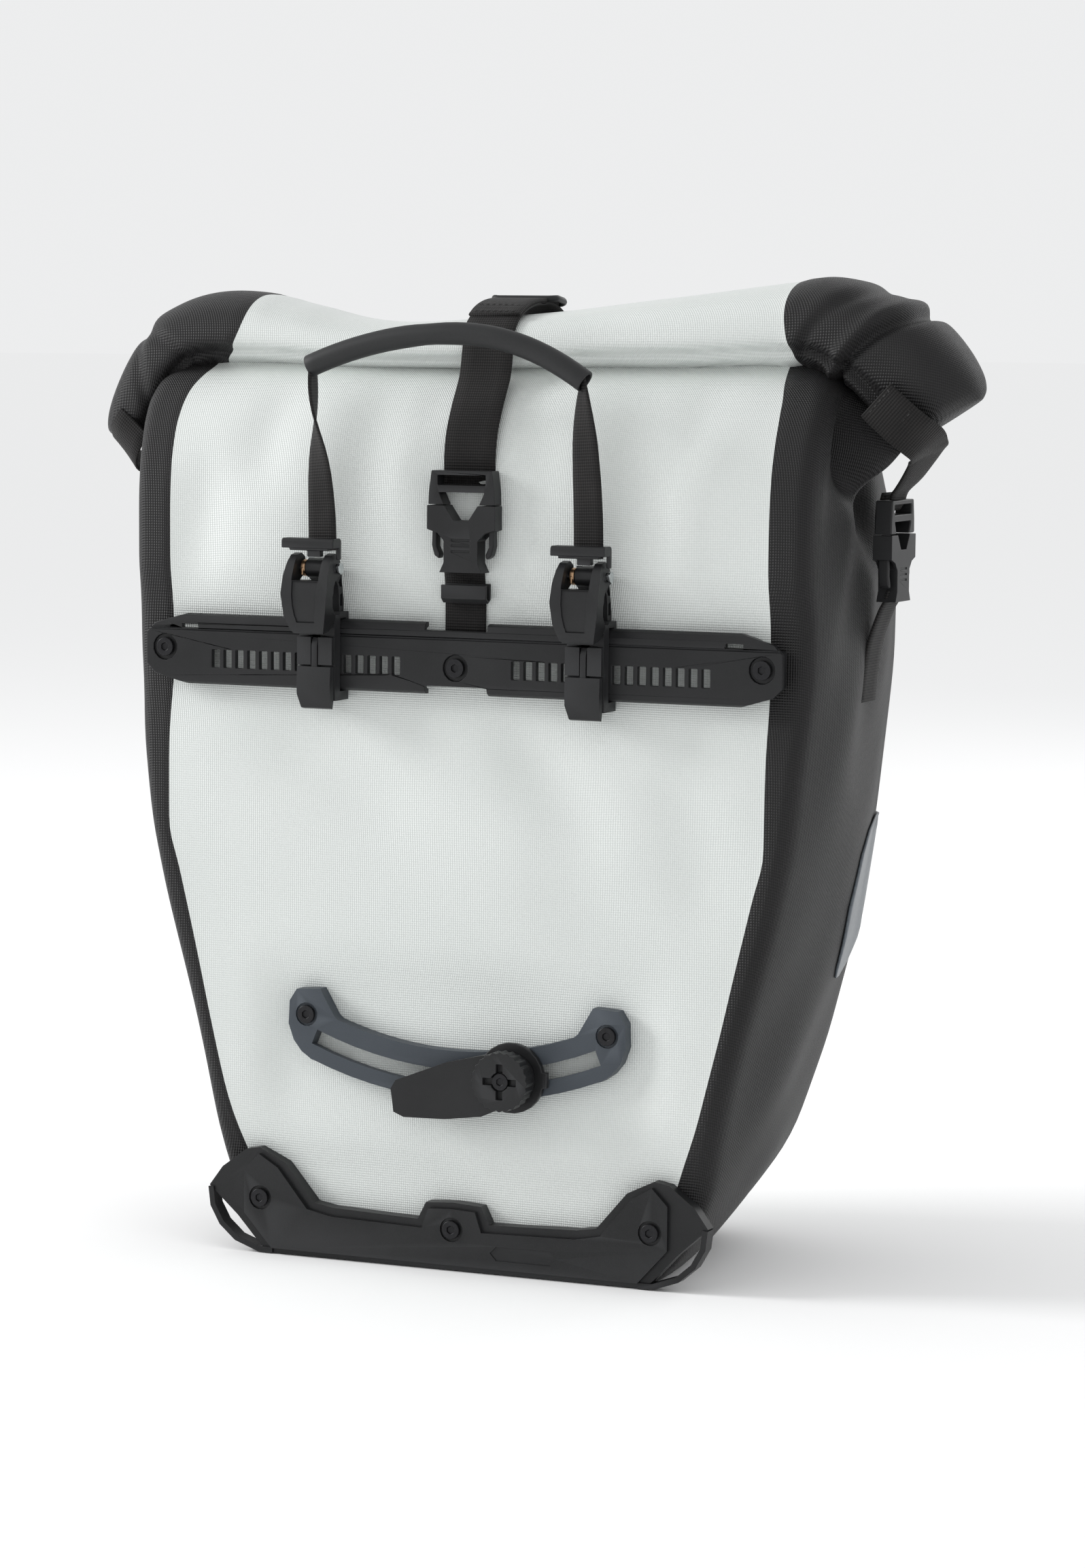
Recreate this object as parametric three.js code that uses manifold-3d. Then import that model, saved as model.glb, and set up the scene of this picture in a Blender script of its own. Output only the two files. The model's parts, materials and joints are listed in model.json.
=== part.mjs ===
// Roll-top bicycle pannier bag, in millimetres.
// +Z is up, +X runs along the mounting rail, and the rack side of the bag faces -Y.
// The origin is the centre of the flat base that the bag stands on.
import * as THREE from 'three';
import { mergeVertices } from 'three/addons/utils/BufferGeometryUtils.js';
import Module from 'manifold-3d';

const wasm = await Module();
wasm.setup();

// ---------- driving dimensions ----------
const BASE_CENTRE_Y = 70;      // from the back panel to the middle of the base
const GAP = 0.35;              // clearance between touching pieces
const WALL = 3;                // thickness of the bag's wall
const MOUTH_Z = 401;           // height of the open mouth, under the roll

const RAIL_HALF = 154;         // half the length of the mounting rail
const RAIL_FRONT = -9.5;       // front face of the rail
const RAIL_SCREW_X = 144.8;
const HOOK_X = 65;             // hooks sit this far either side of the middle
const RACK_TUBE_R = 8.2;       // largest rack tube that a hook takes
const TUBE_Z = 302;
const PIN_Y = -17.5;           // hinge pin of a latch
const PIN_Z = 314.5;

const HANDLE_Y = -22;
const GRIP_END_X = 65;
const GRIP_END_Z = 402;
const GRIP_PEAK_Z = 419;
const GRIP_R = 5;
const BAR_TOP_Z = 328;         // top of the pull bars that the handle straps end on

const ARC_R = 182.4;           // slot of the lower rail, an arc about (0, ARC_Z)
const ARC_Z = 270;
const KNOB_X = 28.8;
const KNOB_R = 13.5;

const ROLL_Y = 52;             // middle of the rolled collar
const ROLL_Z = 414.8;          // at the middle, where the strap holds it down
const ROLL_HALF_Y = 32;
const ROLL_HALF_Z = 13;

const STRAP_X = 3;             // centre strap, in X
const BUCKLE_Z = 314;          // bottom of the centre buckle
const BUCKLE_Y = -7;           // middle of its thickness
const SIDE_X = 177;            // middle of a side buckle's thickness
const SIDE_Y = 70;
const SIDE_Z = 303;            // bottom of a side buckle

// ---------- solids ----------
const toSolid = (geometry) => {
  const plain = geometry.index ? geometry : geometry.clone();
  plain.deleteAttribute('normal');
  plain.deleteAttribute('uv');
  const merged = mergeVertices(plain, 1e-4);
  return new wasm.Manifold(new wasm.Mesh({
    numProp: 3,
    vertProperties: new Float32Array(merged.attributes.position.array),
    triVerts: new Uint32Array(merged.index.array),
  }));
};

// Extrudes an outline along an axis. (u, v) are (y, z) for x, (x, z) for y and (x, y) for z.
const prism = (axis, outline, from, to) => {
  const shape = new THREE.Shape(outline.map(([u, v]) => new THREE.Vector2(u, v)));
  const geometry = new THREE.ExtrudeGeometry(shape, { depth: to - from, bevelEnabled: false });
  const turn = new THREE.Matrix4();
  if (axis === 'x') {
    turn.set(0, 0, 1, from, 1, 0, 0, 0, 0, 1, 0, 0, 0, 0, 0, 1);
  } else if (axis === 'y') {
    turn.set(1, 0, 0, 0, 0, 0, -1, to, 0, 1, 0, 0, 0, 0, 0, 1);
  } else {
    turn.makeTranslation(0, 0, from);
  }
  return toSolid(geometry.applyMatrix4(turn));
};

const box = (x0, x1, y0, y1, z0, z1) => {
  const geometry = new THREE.BoxGeometry(x1 - x0, y1 - y0, z1 - z0);
  geometry.translate((x0 + x1) / 2, (y0 + y1) / 2, (z0 + z1) / 2);
  return toSolid(geometry);
};

// A rod of n sides along an axis, through the point whose other two coordinates are (u, v).
const rod = (axis, u, v, radius, from, to, n = 12) => {
  const turn = Math.PI / n;
  const ring = Array.from({ length: n }, (_, i) => {
    const a = turn + i * 2 * Math.PI / n;
    return [u + radius * Math.cos(a), v + radius * Math.sin(a)];
  });
  return prism(axis, ring, from, to);
};

// A closed skin over rings of equal length, with a flat cap at each end.
const loft = (rings) => {
  const n = rings[0].length;
  const points = rings.flat();
  const faces = [];
  for (let r = 0; r < rings.length - 1; r += 1) {
    for (let i = 0; i < n; i += 1) {
      const a = r * n + i;
      const b = r * n + (i + 1) % n;
      faces.push(a, b, b + n, a, b + n, a + n);
    }
  }
  const last = (rings.length - 1) * n;
  for (let i = 1; i < n - 1; i += 1) {
    faces.push(0, i + 1, i);
    faces.push(last, last + i, last + i + 1);
  }
  const geometry = new THREE.BufferGeometry();
  geometry.setAttribute('position', new THREE.BufferAttribute(new Float32Array(points.flat()), 3));
  geometry.setIndex(faces);
  return toSolid(geometry);
};

// The outline of a flat band of the given thickness that follows a path of points.
const band = (path, thickness) => {
  const side = (sign) => path.map(([u, v], i) => {
    const [pu, pv] = path[Math.max(i - 1, 0)];
    const [nu, nv] = path[Math.min(i + 1, path.length - 1)];
    const length = Math.hypot(nu - pu, nv - pv);
    const shift = sign * thickness / 2 / length;
    return [u - (nv - pv) * shift, v + (nu - pu) * shift];
  });
  return [...side(1), ...side(-1).reverse()];
};

const arc = (u, v, radius, fromDeg, toDeg, steps) => Array.from({ length: steps + 1 }, (_, i) => {
  const a = (fromDeg + (toDeg - fromDeg) * i / steps) * Math.PI / 180;
  return [u + radius * Math.cos(a), v + radius * Math.sin(a)];
});

const mirrored = (outline) => outline.map(([u, v]) => [-u, v]).reverse();
const join = (...solids) => wasm.Manifold.union(solids);

// ---------- materials ----------
const finish = (color, roughness, metalness = 0) => () => (
  new THREE.MeshStandardMaterial({ color, roughness, metalness }));
const fabricWhite = finish(0xe6eae8, 0.45);
const fabricBlack = finish(0x262628, 0.75);
const plasticBlack = finish(0x2c2d2f, 0.5);
const plasticGrey = finish(0x50565d, 0.5);
const webbing = finish(0x1d1c1c, 0.85);
const rubber = finish(0x2a2a2b, 0.65);
const sheetGrey = finish(0x6b6d70, 0.6);
const steel = finish(0xb9bcbe, 0.3, 0.9);
const steelBlack = finish(0x202123, 0.35, 0.6);
const copper = finish(0xb07a4a, 0.35, 0.9);

const bag = new THREE.Group();
bag.position.y = -BASE_CENTRE_Y;

const add = (name, solid, material) => {
  const { vertProperties, triVerts, numProp } = solid.getMesh();
  const geometry = new THREE.BufferGeometry();
  const positions = new Float32Array(vertProperties.length / numProp * 3);
  for (let i = 0; i < positions.length / 3; i += 1) {
    positions.set(vertProperties.subarray(i * numProp, i * numProp + 3), i * 3);
  }
  geometry.setAttribute('position', new THREE.BufferAttribute(positions, 3));
  geometry.setIndex(new THREE.BufferAttribute(triVerts, 1));
  geometry.computeVertexNormals();
  const mesh = new THREE.Mesh(geometry, material());
  mesh.name = name;
  bag.add(mesh);
  return mesh;
};

// ---------- bag shell, open at the mouth ----------
// Each section: height, half width at the rack side and at the outer side, and nearest and
// furthest y. The sides taper to the narrow base and the top closes towards the mouth.
const SHELL_SECTIONS = [
  [0, 96, 84, 0, 134], [12, 108, 94, 0, 138], [40, 121, 108, 0, 143], [90, 131, 128, 0, 149],
  [160, 150, 144, 0, 155], [200, 158, 149, 0, 157], [276, 165, 158, 0, 153],
  [330, 165, 163, 0, 140], [365, 164, 162, 1, 118], [388, 160, 158, 12, 98],
  [MOUTH_Z, 152, 150, 24, 86],
];
const BACK_CORNER_R = 8;
const OUTER_CORNER_R = 28;

const shellRing = ([z, back, outer, y0, y1], inset) => {
  const rb = BACK_CORNER_R - inset;
  const ro = Math.min(OUTER_CORNER_R, (y1 - y0) / 3) - inset;
  const xb = back - inset - rb;
  const xo = outer - inset - ro;
  const ring = [
    ...arc(xb, y0 + inset + rb, rb, -90, 0, 2), ...arc(xo, y1 - inset - ro, ro, 0, 90, 4),
    ...arc(-xo, y1 - inset - ro, ro, 90, 180, 4), ...arc(-xb, y0 + inset + rb, rb, 180, 270, 2),
  ];
  return ring.map(([x, y]) => [x, y, z]);
};

// Screws, by the part that they hold: x, z and the y of the face under the head.
const SCREWS = {
  rail_screw_left: [-RAIL_SCREW_X, 276, -8], rail_screw_middle: [0, 271.5, -8],
  rail_screw_right: [RAIL_SCREW_X, 276, -8], lower_screw_left: [-73.6, 111.3, -6],
  lower_screw_right: [73.6, 111.3, -6], guard_screw_left: [-95.8, 25.5, -8],
  guard_screw_middle: [0, 18.8, -8], guard_screw_right: [95.8, 25.5, -8],
};
const SHANK_R = 2;
const HOLE_R = 2.45;
const HEAD_R = 4.2;
const HEAD_HEIGHT = 2.2;
const drilled = (solid, names) => names.reduce((rest, name) => {
  const [x, z] = SCREWS[name];
  return rest.subtract(rod('y', x, z, HOLE_R, -20, 20, 8));
}, solid);
const ALL_SCREWS = Object.keys(SCREWS);
const RAIL_SCREWS = ALL_SCREWS.filter((name) => name.startsWith('rail'));
const LOWER_SCREWS = ALL_SCREWS.filter((name) => name.startsWith('lower'));
const GUARD_SCREWS = ALL_SCREWS.filter((name) => name.startsWith('guard'));

const addShell = () => {
  const outside = loft(SHELL_SECTIONS.map((section) => shellRing(section, 0)));
  const insideRings = SHELL_SECTIONS.map((section) => shellRing(section, WALL));
  insideRings[0] = insideRings[0].map(([x, y]) => [x, y, WALL]);
  insideRings.push(insideRings.at(-1).map(([x, y]) => [x, y, MOUTH_Z + 5]));
  add('bag_shell', drilled(outside.subtract(loft(insideRings)), ALL_SCREWS), fabricWhite);
};

// ---------- stiffening inside the back ----------
const SHEET_Y = WALL + 0.3;
const SHEET_THICK = 2;
const STRIP_Y = SHEET_Y + SHEET_THICK + 0.3;
const STRIP_THICK = 2.4;
const POCKET_Y = STRIP_Y + STRIP_THICK + 0.6;

const addInside = () => {
  const half = [[0, 14], [97, 14], [110, 40], [120, 90], [138, 160], [147, 210], [150, 292],
    [0, 292]];
  const outline = [...half, ...mirrored(half).slice(1, -1)];
  const sheet = prism('y', outline, SHEET_Y, SHEET_Y + SHEET_THICK);
  add('back_stiffener', drilled(sheet, ALL_SCREWS), sheetGrey);
  const strip = (halfWidth, z0, z1, names) => drilled(
    box(-halfWidth, halfWidth, STRIP_Y, STRIP_Y + STRIP_THICK, z0, z1), names);
  add('rail_backing_strip', strip(150, 265, 283, RAIL_SCREWS), plasticBlack);
  add('lower_backing_strip', strip(81, 105, 118, LOWER_SCREWS), plasticBlack);
  add('guard_backing_strip', strip(99, 16, 31, GUARD_SCREWS), plasticBlack);
  add('inner_pocket', box(-95, 95, POCKET_Y, POCKET_Y + 3, 130, 262), fabricBlack);
};

// ---------- screws ----------
const addScrews = () => {
  ALL_SCREWS.forEach((name) => {
    const [x, z, seat] = SCREWS[name];
    const head = rod('y', x, z, HEAD_R, seat - HEAD_HEIGHT, seat - 0.3, 16);
    const socket = rod('y', x, z, 1.9, seat - HEAD_HEIGHT - 1, seat - 1, 6);
    const shank = rod('y', x, z, SHANK_R, seat - 0.5, STRIP_Y + STRIP_THICK - 0.4, 8);
    add(name, join(head.subtract(socket), shank), steelBlack);
  });
};

// ---------- mounting rail ----------
const LIP_TOP = 291.5;
const LIP_BOTTOM = 259.5;
const RAIL_PLATE = 3;
const LIP_BACK = -4.4;
const WINDOW_PITCH = 6;
const WINDOW_COUNT = 16;

const addRail = () => {
  const front = RAIL_FRONT;
  const back = RAIL_FRONT + RAIL_PLATE;
  // The lips curl towards the bag, and the hooks clamp round them.
  const profile = [
    [front, 263], [front + 0.8, 260.6], [front + 2.6, LIP_BOTTOM], [LIP_BACK, LIP_BOTTOM],
    [LIP_BACK, LIP_BOTTOM + 2], [back, 262.4], [back, 288.6], [LIP_BACK, LIP_TOP - 2],
    [LIP_BACK, LIP_TOP], [front + 2.6, LIP_TOP], [front + 0.8, 290.4], [front, 288],
  ];
  const bar = prism('x', profile, -RAIL_HALF, RAIL_HALF);
  const half = [[0, LIP_BOTTOM - 1], [131, LIP_BOTTOM - 1], [150, 264], [RAIL_HALF, 268],
    [RAIL_HALF, 283], [150, 287], [131, LIP_TOP + 1], [0, LIP_TOP + 1]];
  const ends = prism('y', [...half, ...mirrored(half).slice(1, -1)], -12, 0);
  let rail = bar.intersect(ends);
  [-1, 1].forEach((side) => {
    const x0 = side * RAIL_SCREW_X;
    rail = rail.add(box(x0 - 8, x0 + 8, back - 1, -0.5, 268, 284));
    for (let i = 0; i < WINDOW_COUNT; i += 1) {
      const x = side * (29 + i * WINDOW_PITCH);
      rail = rail.subtract(box(x - 2, x + 2, -12, 0, 267.4, 275.6));
    }
    const notch = side * 132;
    rail = rail.subtract(box(notch - 4, notch + 4, -12, 0, 285, 287));
  });
  rail = rail.add(box(-8, 8, back - 1, -2.4, 264, 284));
  const lipCut = [[front - 1, 288], [0, 288], [0, LIP_TOP + 2], [front - 1, LIP_TOP + 2]];
  rail = rail.subtract(prism('x', lipCut, -15, 15));
  rail = rail.subtract(box(-15, 15, -12, 0, LIP_BOTTOM - 2, 263.2));
  const groove = box(-RAIL_HALF, RAIL_HALF, front - 1, front + 0.5, 283.9, 284.7);
  rail = rail.subtract(groove);
  RAIL_SCREWS.forEach((name) => {
    const [x, z, seat] = SCREWS[name];
    rail = rail.subtract(rod('y', x, z, 6, front - 1, seat, 16));
  });
  add('mounting_rail', drilled(rail, RAIL_SCREWS), plasticBlack);
};

// ---------- hooks ----------
const CLAMP_HALF = 8.7;
const SPINE_HALF = 6.2;
const WINDOW_HALF = 6.6;
const HUB_R = 4.3;
const PIN_R = 1.7;
const THROAT_TOP = TUBE_Z + RACK_TUBE_R;
const LEVER_PIN_Y = -15.6;
const LEVER_PIN_Z = 281.4;

const hookBody = () => {
  const clampFront = -16;
  const railSide = RAIL_FRONT - GAP;
  const rear = -1.3;
  const lipGap = LIP_BACK + GAP;
  const clamp = [
    [clampFront, 255], [rear, 255], [rear, 263.5], [lipGap, 263.5], [lipGap, LIP_BOTTOM - GAP],
    [railSide, LIP_BOTTOM - GAP], [railSide, LIP_TOP + GAP], [lipGap, LIP_TOP + GAP],
    [lipGap, 287.5], [rear, 287.5], [rear, 294.6], [-10, 294.6], [-11, 293.3],
    [clampFront, 293.3],
  ];
  const spine = [
    [-5.6, 294.3], [rear, 294.3], [rear, 305], [-2.6, 311.5], [-6, 316], [-11, 318.8],
    [PIN_Y + 2, PIN_Z + HUB_R - 0.4], [PIN_Y + 1, THROAT_TOP], [-12, THROAT_TOP],
    [-9.4, 308.6], [-7.2, 306], [-6.2, 302], [-6.2, 298],
  ];
  const hub = rod('x', PIN_Y, PIN_Z, HUB_R, -WINDOW_HALF + 0.7, WINDOW_HALF - 0.7, 16);
  let body = join(prism('x', clamp, -CLAMP_HALF, CLAMP_HALF),
    prism('x', spine, -SPINE_HALF, SPINE_HALF), hub);
  // Small pockets lighten both sides of the spine.
  const pockets = [[[-4.9, 297], [-2.6, 297], [-2.6, 303], [-4.9, 302]],
    [[-5.2, 305.6], [-3, 305.6], [-4.4, 310], [-6.6, 307.6]],
    [[-8.2, 310.4], [-6, 312.2], [-8.6, 315], [-10.6, 315.4], [-10.4, 312]]];
  pockets.forEach((pocket) => {
    body = body.subtract(prism('x', pocket, SPINE_HALF - 2, SPINE_HALF + 1));
    body = body.subtract(prism('x', pocket, -SPINE_HALF - 1, -SPINE_HALF + 2));
  });
  // Two square pads carry the lock lever's pin, with a slot for its tongue between them.
  [-1, 1].forEach((side) => {
    const x = side * 5.2;
    body = body.add(box(x - 3.4, x + 3.4, -18.4, clampFront + 1, 271.2, 283.6));
  });
  const axle = rod('x', LEVER_PIN_Y, LEVER_PIN_Z, 0.8, -3, 3, 8);
  const slot = box(-1.8, 1.8, -19, -12.6, 269, 284.5);
  const leverBay = box(-9, 9, -19, -15.2, 250, 270.9);
  return body.subtract(slot).subtract(leverBay).add(axle)
    .subtract(rod('x', PIN_Y, PIN_Z, PIN_R + GAP, -20, 20, 12));
};

const latch = () => {
  const profile = [
    [-18, 321.2], [-22, 320.4], [-25, 317.4], [-28.2, 311], [-30, 303], [-29.2, 294],
    [-26.4, 287], [-24.4, 285.4], [-20, 286.6], [-17.2, 290], [-16.9, 292.6], [-18.9, 294.2],
    [-21.8, 297.4], [-23.1, 302], [-22.2, 306.2], [-20.6, 308.6], [-17.6, 310.5],
    [-13.6, 311.6], [-12.9, 315], [-14.6, 319.4],
  ];
  const shield = [[-9.8, 322], [-11, 313], [-11.4, 304], [-10.2, 294], [-8.2, 287], [-6.6, 284.6],
    [6.6, 284.6], [8.2, 287], [10.2, 294], [11.4, 304], [11, 313], [9.8, 322]];
  const panel = [[-6.4, 309], [-5.8, 298], [-4.4, 290.5], [4.4, 290.5], [5.8, 298], [6.4, 309]];
  const body = prism('x', profile, -12, 12).intersect(prism('y', shield, -40, 0));
  const core = prism('x', profile.map(([y, z]) => [y + 0.7, z]), -12, 12);
  const inset = prism('y', panel, -40, -24).subtract(core);
  return body.subtract(inset)
    .subtract(box(-WINDOW_HALF, WINDOW_HALF, -40, 0, THROAT_TOP - 1, 330))
    .subtract(rod('x', PIN_Y, PIN_Z, PIN_R + GAP, -20, 20, 12));
};

const lockLever = () => {
  const plate = [[-18.8, 252], [-16.6, 251.4], [-15.6, 255], [-15.6, 270.4], [-19, 270.4],
    [-19.6, 262]];
  const tongue = [[-18.6, 269], [-14.4, 269], [-13.6, 281], [-14.6, 283.4], [-17.2, 283.4],
    [-18.6, 280]];
  const cut = [[-9, 250], [-5.6, 250], [-8.6, 259], [-9, 259]];
  return join(prism('x', plate, -8.25, 8.25), prism('x', tongue, -1.35, 1.35))
    .subtract(prism('y', cut, -25, -10))
    .subtract(rod('x', LEVER_PIN_Y, LEVER_PIN_Z, 1.1, -3, 3, 8));
};

// A torsion spring of flat rings beside the hub, closed into one spiral strip.
const latchSpring = () => {
  const outer = rod('x', PIN_Y, PIN_Z, 3.8, -1, 1, 16);
  const inner = rod('x', PIN_Y, PIN_Z, 2.4, -2, 2, 16);
  const leg = box(-0.5, 0.5, PIN_Y - 4.2, PIN_Y - 3, 311.4, PIN_Z);
  return join(outer.subtract(inner), leg);
};

const pullBar = () => {
  const bar = [[-26.4, 323.6], [-17.6, 323.6], [-17.6, 327], [-18.6, BAR_TOP_Z],
    [-25.4, BAR_TOP_Z], [-26.4, 327]];
  const stem = box(-1.2, 5.4, -24, -20.6, 319.7, 324);
  const ear = box(11, 12.8, -20, -17.6, 318.4, 324);
  const skirt = box(-9.6, 9.6, -25, -19, 322.5, 324);
  return join(prism('x', bar, -12.8, 12.8), skirt, stem, ear);
};

const addHooks = () => {
  [['left', -HOOK_X], ['right', HOOK_X]].forEach(([side, x]) => {
    const place = (name, solid, material) => {
      add(`${name}_${side}`, solid, material).position.x = x;
    };
    const springBay = box(-WINDOW_HALF, -3.1, -26, -8, THROAT_TOP - 1, 325);
    const spineBack = box(-SPINE_HALF - 1, SPINE_HALF + 1, -12, 0, 290, 325);
    place('hook_body', hookBody().subtract(springBay.subtract(spineBack)), plasticBlack);
    const head = rod('x', PIN_Y, PIN_Z, 2.6, 11.8, 12.8, 12);
    place('hook_pin', join(rod('x', PIN_Y, PIN_Z, PIN_R, -11, 12.5, 12), head), steel);
    place('hook_latch', latch(), plasticBlack);
    const spring = latchSpring();
    place('latch_spring', spring.translate([-4.7, 0, 0]), copper);
    place('pull_bar', pullBar(), plasticBlack);
    place('lock_lever', lockLever(), plasticBlack);
  });
};

// ---------- handle ----------
const gripRing = (x) => {
  const rise = GRIP_PEAK_Z - GRIP_END_Z;
  const z = GRIP_PEAK_Z - rise * (x / GRIP_END_X) ** 2;
  const slope = Math.atan(-2 * rise * x / GRIP_END_X ** 2);
  return arc(0, 0, GRIP_R, 0, 315, 7).map(([u, v]) => (
    [x - v * Math.sin(slope), HANDLE_Y + u, z + v * Math.cos(slope)]));
};

const addHandle = () => {
  const steps = 14;
  const rings = Array.from({ length: steps + 1 }, (_, i) => (
    gripRing(GRIP_END_X * (2 * i / steps - 1) * 1.03)));
  add('handle_grip', loft(rings), rubber);
  [['left', -1], ['right', 1]].forEach(([side, sign]) => {
    const x = sign * GRIP_END_X;
    const low = BAR_TOP_Z + 0.9;
    const half = [[2.2, low + 66], [4, low + 50], [7, low + 15], [7, low]];
    const outline = [...half, ...mirrored(half)].map(([u, z]) => [x + u, z]);
    add(`handle_strap_${side}`, prism('y', outline, HANDLE_Y - 0.8, HANDLE_Y + 0.8), webbing);
  });
};

// ---------- lower rail and sliding sway hook ----------
const arcPoint = (angleDeg, radius) => {
  const a = angleDeg * Math.PI / 180;
  return [radius * Math.sin(a), ARC_Z - radius * Math.cos(a)];
};
const arcBand = (fromDeg, toDeg, inner, outer, steps) => {
  const angles = Array.from({ length: steps + 1 }, (_, i) => (
    fromDeg + (toDeg - fromDeg) * i / steps));
  return [...angles.map((a) => arcPoint(a, inner)),
    ...angles.reverse().map((a) => arcPoint(a, outer))];
};
const SLOT_END_DEG = 22.4;
const LOWER_FRONT = -7;

const addLowerRail = () => {
  const back = -0.5;
  const ear = [[54, 106.5], [60, 88], [71, 90.8], [76, 94.2], [80, 99.2], [82.6, 106.5], [82.2, 117],
    [78.6, 122.6], [66.8, 123.4], [59.8, 111.4]];
  const body = prism('y', arcBand(-21.6, 21.6, ARC_R - 12, ARC_R + 10.2, 14), LOWER_FRONT, back);
  const slot = prism('y', arcBand(-SLOT_END_DEG, SLOT_END_DEG, ARC_R - 3.5, ARC_R + 3.5, 14),
    LOWER_FRONT - 2, back + 2);
  const nutTrack = prism('y', arcBand(-SLOT_END_DEG, SLOT_END_DEG, ARC_R - 5.6, ARC_R + 5.6, 14),
    -3.4, back + 1);
  let rail = join(body, prism('y', ear, LOWER_FRONT, back),
    prism('y', mirrored(ear), LOWER_FRONT, back)).subtract(slot).subtract(nutTrack);
  LOWER_SCREWS.forEach((name) => {
    const [x, z, seat] = SCREWS[name];
    rail = rail.subtract(rod('y', x, z, 5.4, LOWER_FRONT - 1, seat, 16));
  });
  add('lower_rail', drilled(rail, LOWER_SCREWS), plasticGrey);
};

const SWAY_BACK = LOWER_FRONT - 0.3;
const COLLAR_FRONT = SWAY_BACK - 3;
const ARM_FRONT = COLLAR_FRONT - GAP - 4.4;
const KNOB_FRONT = ARM_FRONT - GAP - 7.4;
const BOLT_R = 2.6;

const addSwayHook = () => {
  const [x, z] = [KNOB_X, ARC_Z - Math.sqrt(ARC_R ** 2 - KNOB_X ** 2)];
  const neck = rod('y', x, z, 3.1, SWAY_BACK - 0.5, -2.4, 12);
  const nut = rod('y', x, z, 5.2, -3, -0.9, 12);
  const nub = box(x + 10, x + 17.5, COLLAR_FRONT, SWAY_BACK, z - 3.5, z + 3.5);
  add('sway_slider', join(rod('y', x, z, KNOB_R + 2.4, COLLAR_FRONT, SWAY_BACK, 24), nub, neck,
    nut), plasticBlack);
  const arm = [[0, 11], [-12, 10], [-30, 5.5], [-54, -4], [-56.5, -8], [-55, -18.5], [-50, -20.5],
    [-30, -20], [-12, -17.5], [0, -12]].map(([u, v]) => [x + u, z + v]);
  const armBack = COLLAR_FRONT - GAP;
  const hub = rod('y', x, z, 12, ARM_FRONT, armBack, 24);
  const boltHole = rod('y', x, z, BOLT_R + GAP, -40, 0, 12);
  add('sway_hook', join(prism('y', arm, ARM_FRONT, armBack), hub).subtract(boltHole), plasticBlack);
  const teeth = 24;
  const knurl = Array.from({ length: teeth * 2 }, (_, i) => {
    const a = i * Math.PI / teeth;
    const r = i % 2 ? KNOB_R - 0.8 : KNOB_R;
    return [x + r * Math.cos(a), z + r * Math.sin(a)];
  });
  const face = KNOB_FRONT;
  const slotDepth = 2.6;
  const crossA = box(x - 8, x + 8, face - 1, face + slotDepth, z - 1.6, z + 1.6);
  const crossB = box(x - 1.6, x + 1.6, face - 1, face + slotDepth, z - 8, z + 8);
  const headBay = rod('y', x, z, 4.4, face - 1, face + 3, 16);
  const knob = prism('y', knurl, face, ARM_FRONT - GAP);
  add('sway_knob', knob.subtract(join(crossA, crossB, headBay)).subtract(boltHole), plasticBlack);
  const socket = rod('y', x, z, 1.8, face, face + 1.6, 6);
  const bolt = join(rod('y', x, z, 3.9, face + 0.6, face + 2.7, 16).subtract(socket),
    rod('y', x, z, BOLT_R, face + 2, COLLAR_FRONT - GAP, 12));
  add('knob_screw', bolt, steelBlack);
};

// ---------- edge guard ----------
const GUARD_FRONT = -9;

const addGuard = () => {
  const back = -0.5;
  const half = [[0, 0], [92, 0], [97, 4], [108, 16], [122.6, 29], [116, 38], [104, 47],
    [97, 48.3], [84, 42], [69.5, 25], [60, 23.4], [17.5, 22], [13.5, 30], [0, 30.8]];
  const plate = prism('y', [...half, ...mirrored(half).slice(1, -1)], GUARD_FRONT + 2, back);
  const raised = [[0, 2.5], [90, 2.5], [104, 18], [104, 38], [96.5, 45.6], [87, 40], [72, 22],
    [60, 19.6], [14.6, 18.5], [11.5, 27.6], [0, 28.2]];
  const face = prism('y', [...raised, ...mirrored(raised).slice(1, -1)], GUARD_FRONT, back);
  let guard = join(plate, face);
  // A hoop of two ribs stands off each bottom corner.
  [-1, 1].forEach((side) => {
    const path = [[121.5, 28.5], [120.5, 20], [116, 12], [108.5, 5.5], [97, 1.4], [90, 1.3]];
    const hoop = prism('y', band(path.map(([u, v]) => [side * u, v]), 2.6), GUARD_FRONT + 1, back);
    guard = guard.add(hoop);
  });
  const lozenge = [[22, 6.5], [48, 6.5], [51, 9.8], [48, 13], [22, 13], [19, 9.8]];
  guard = guard.subtract(prism('y', lozenge, GUARD_FRONT - 1, GUARD_FRONT + 0.5));
  GUARD_SCREWS.forEach((name) => {
    const [x, z, seat] = SCREWS[name];
    guard = guard.subtract(rod('y', x, z, 5.6, GUARD_FRONT - 1, seat, 16));
  });
  add('edge_guard', drilled(guard, GUARD_SCREWS), plasticBlack);
};

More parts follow.
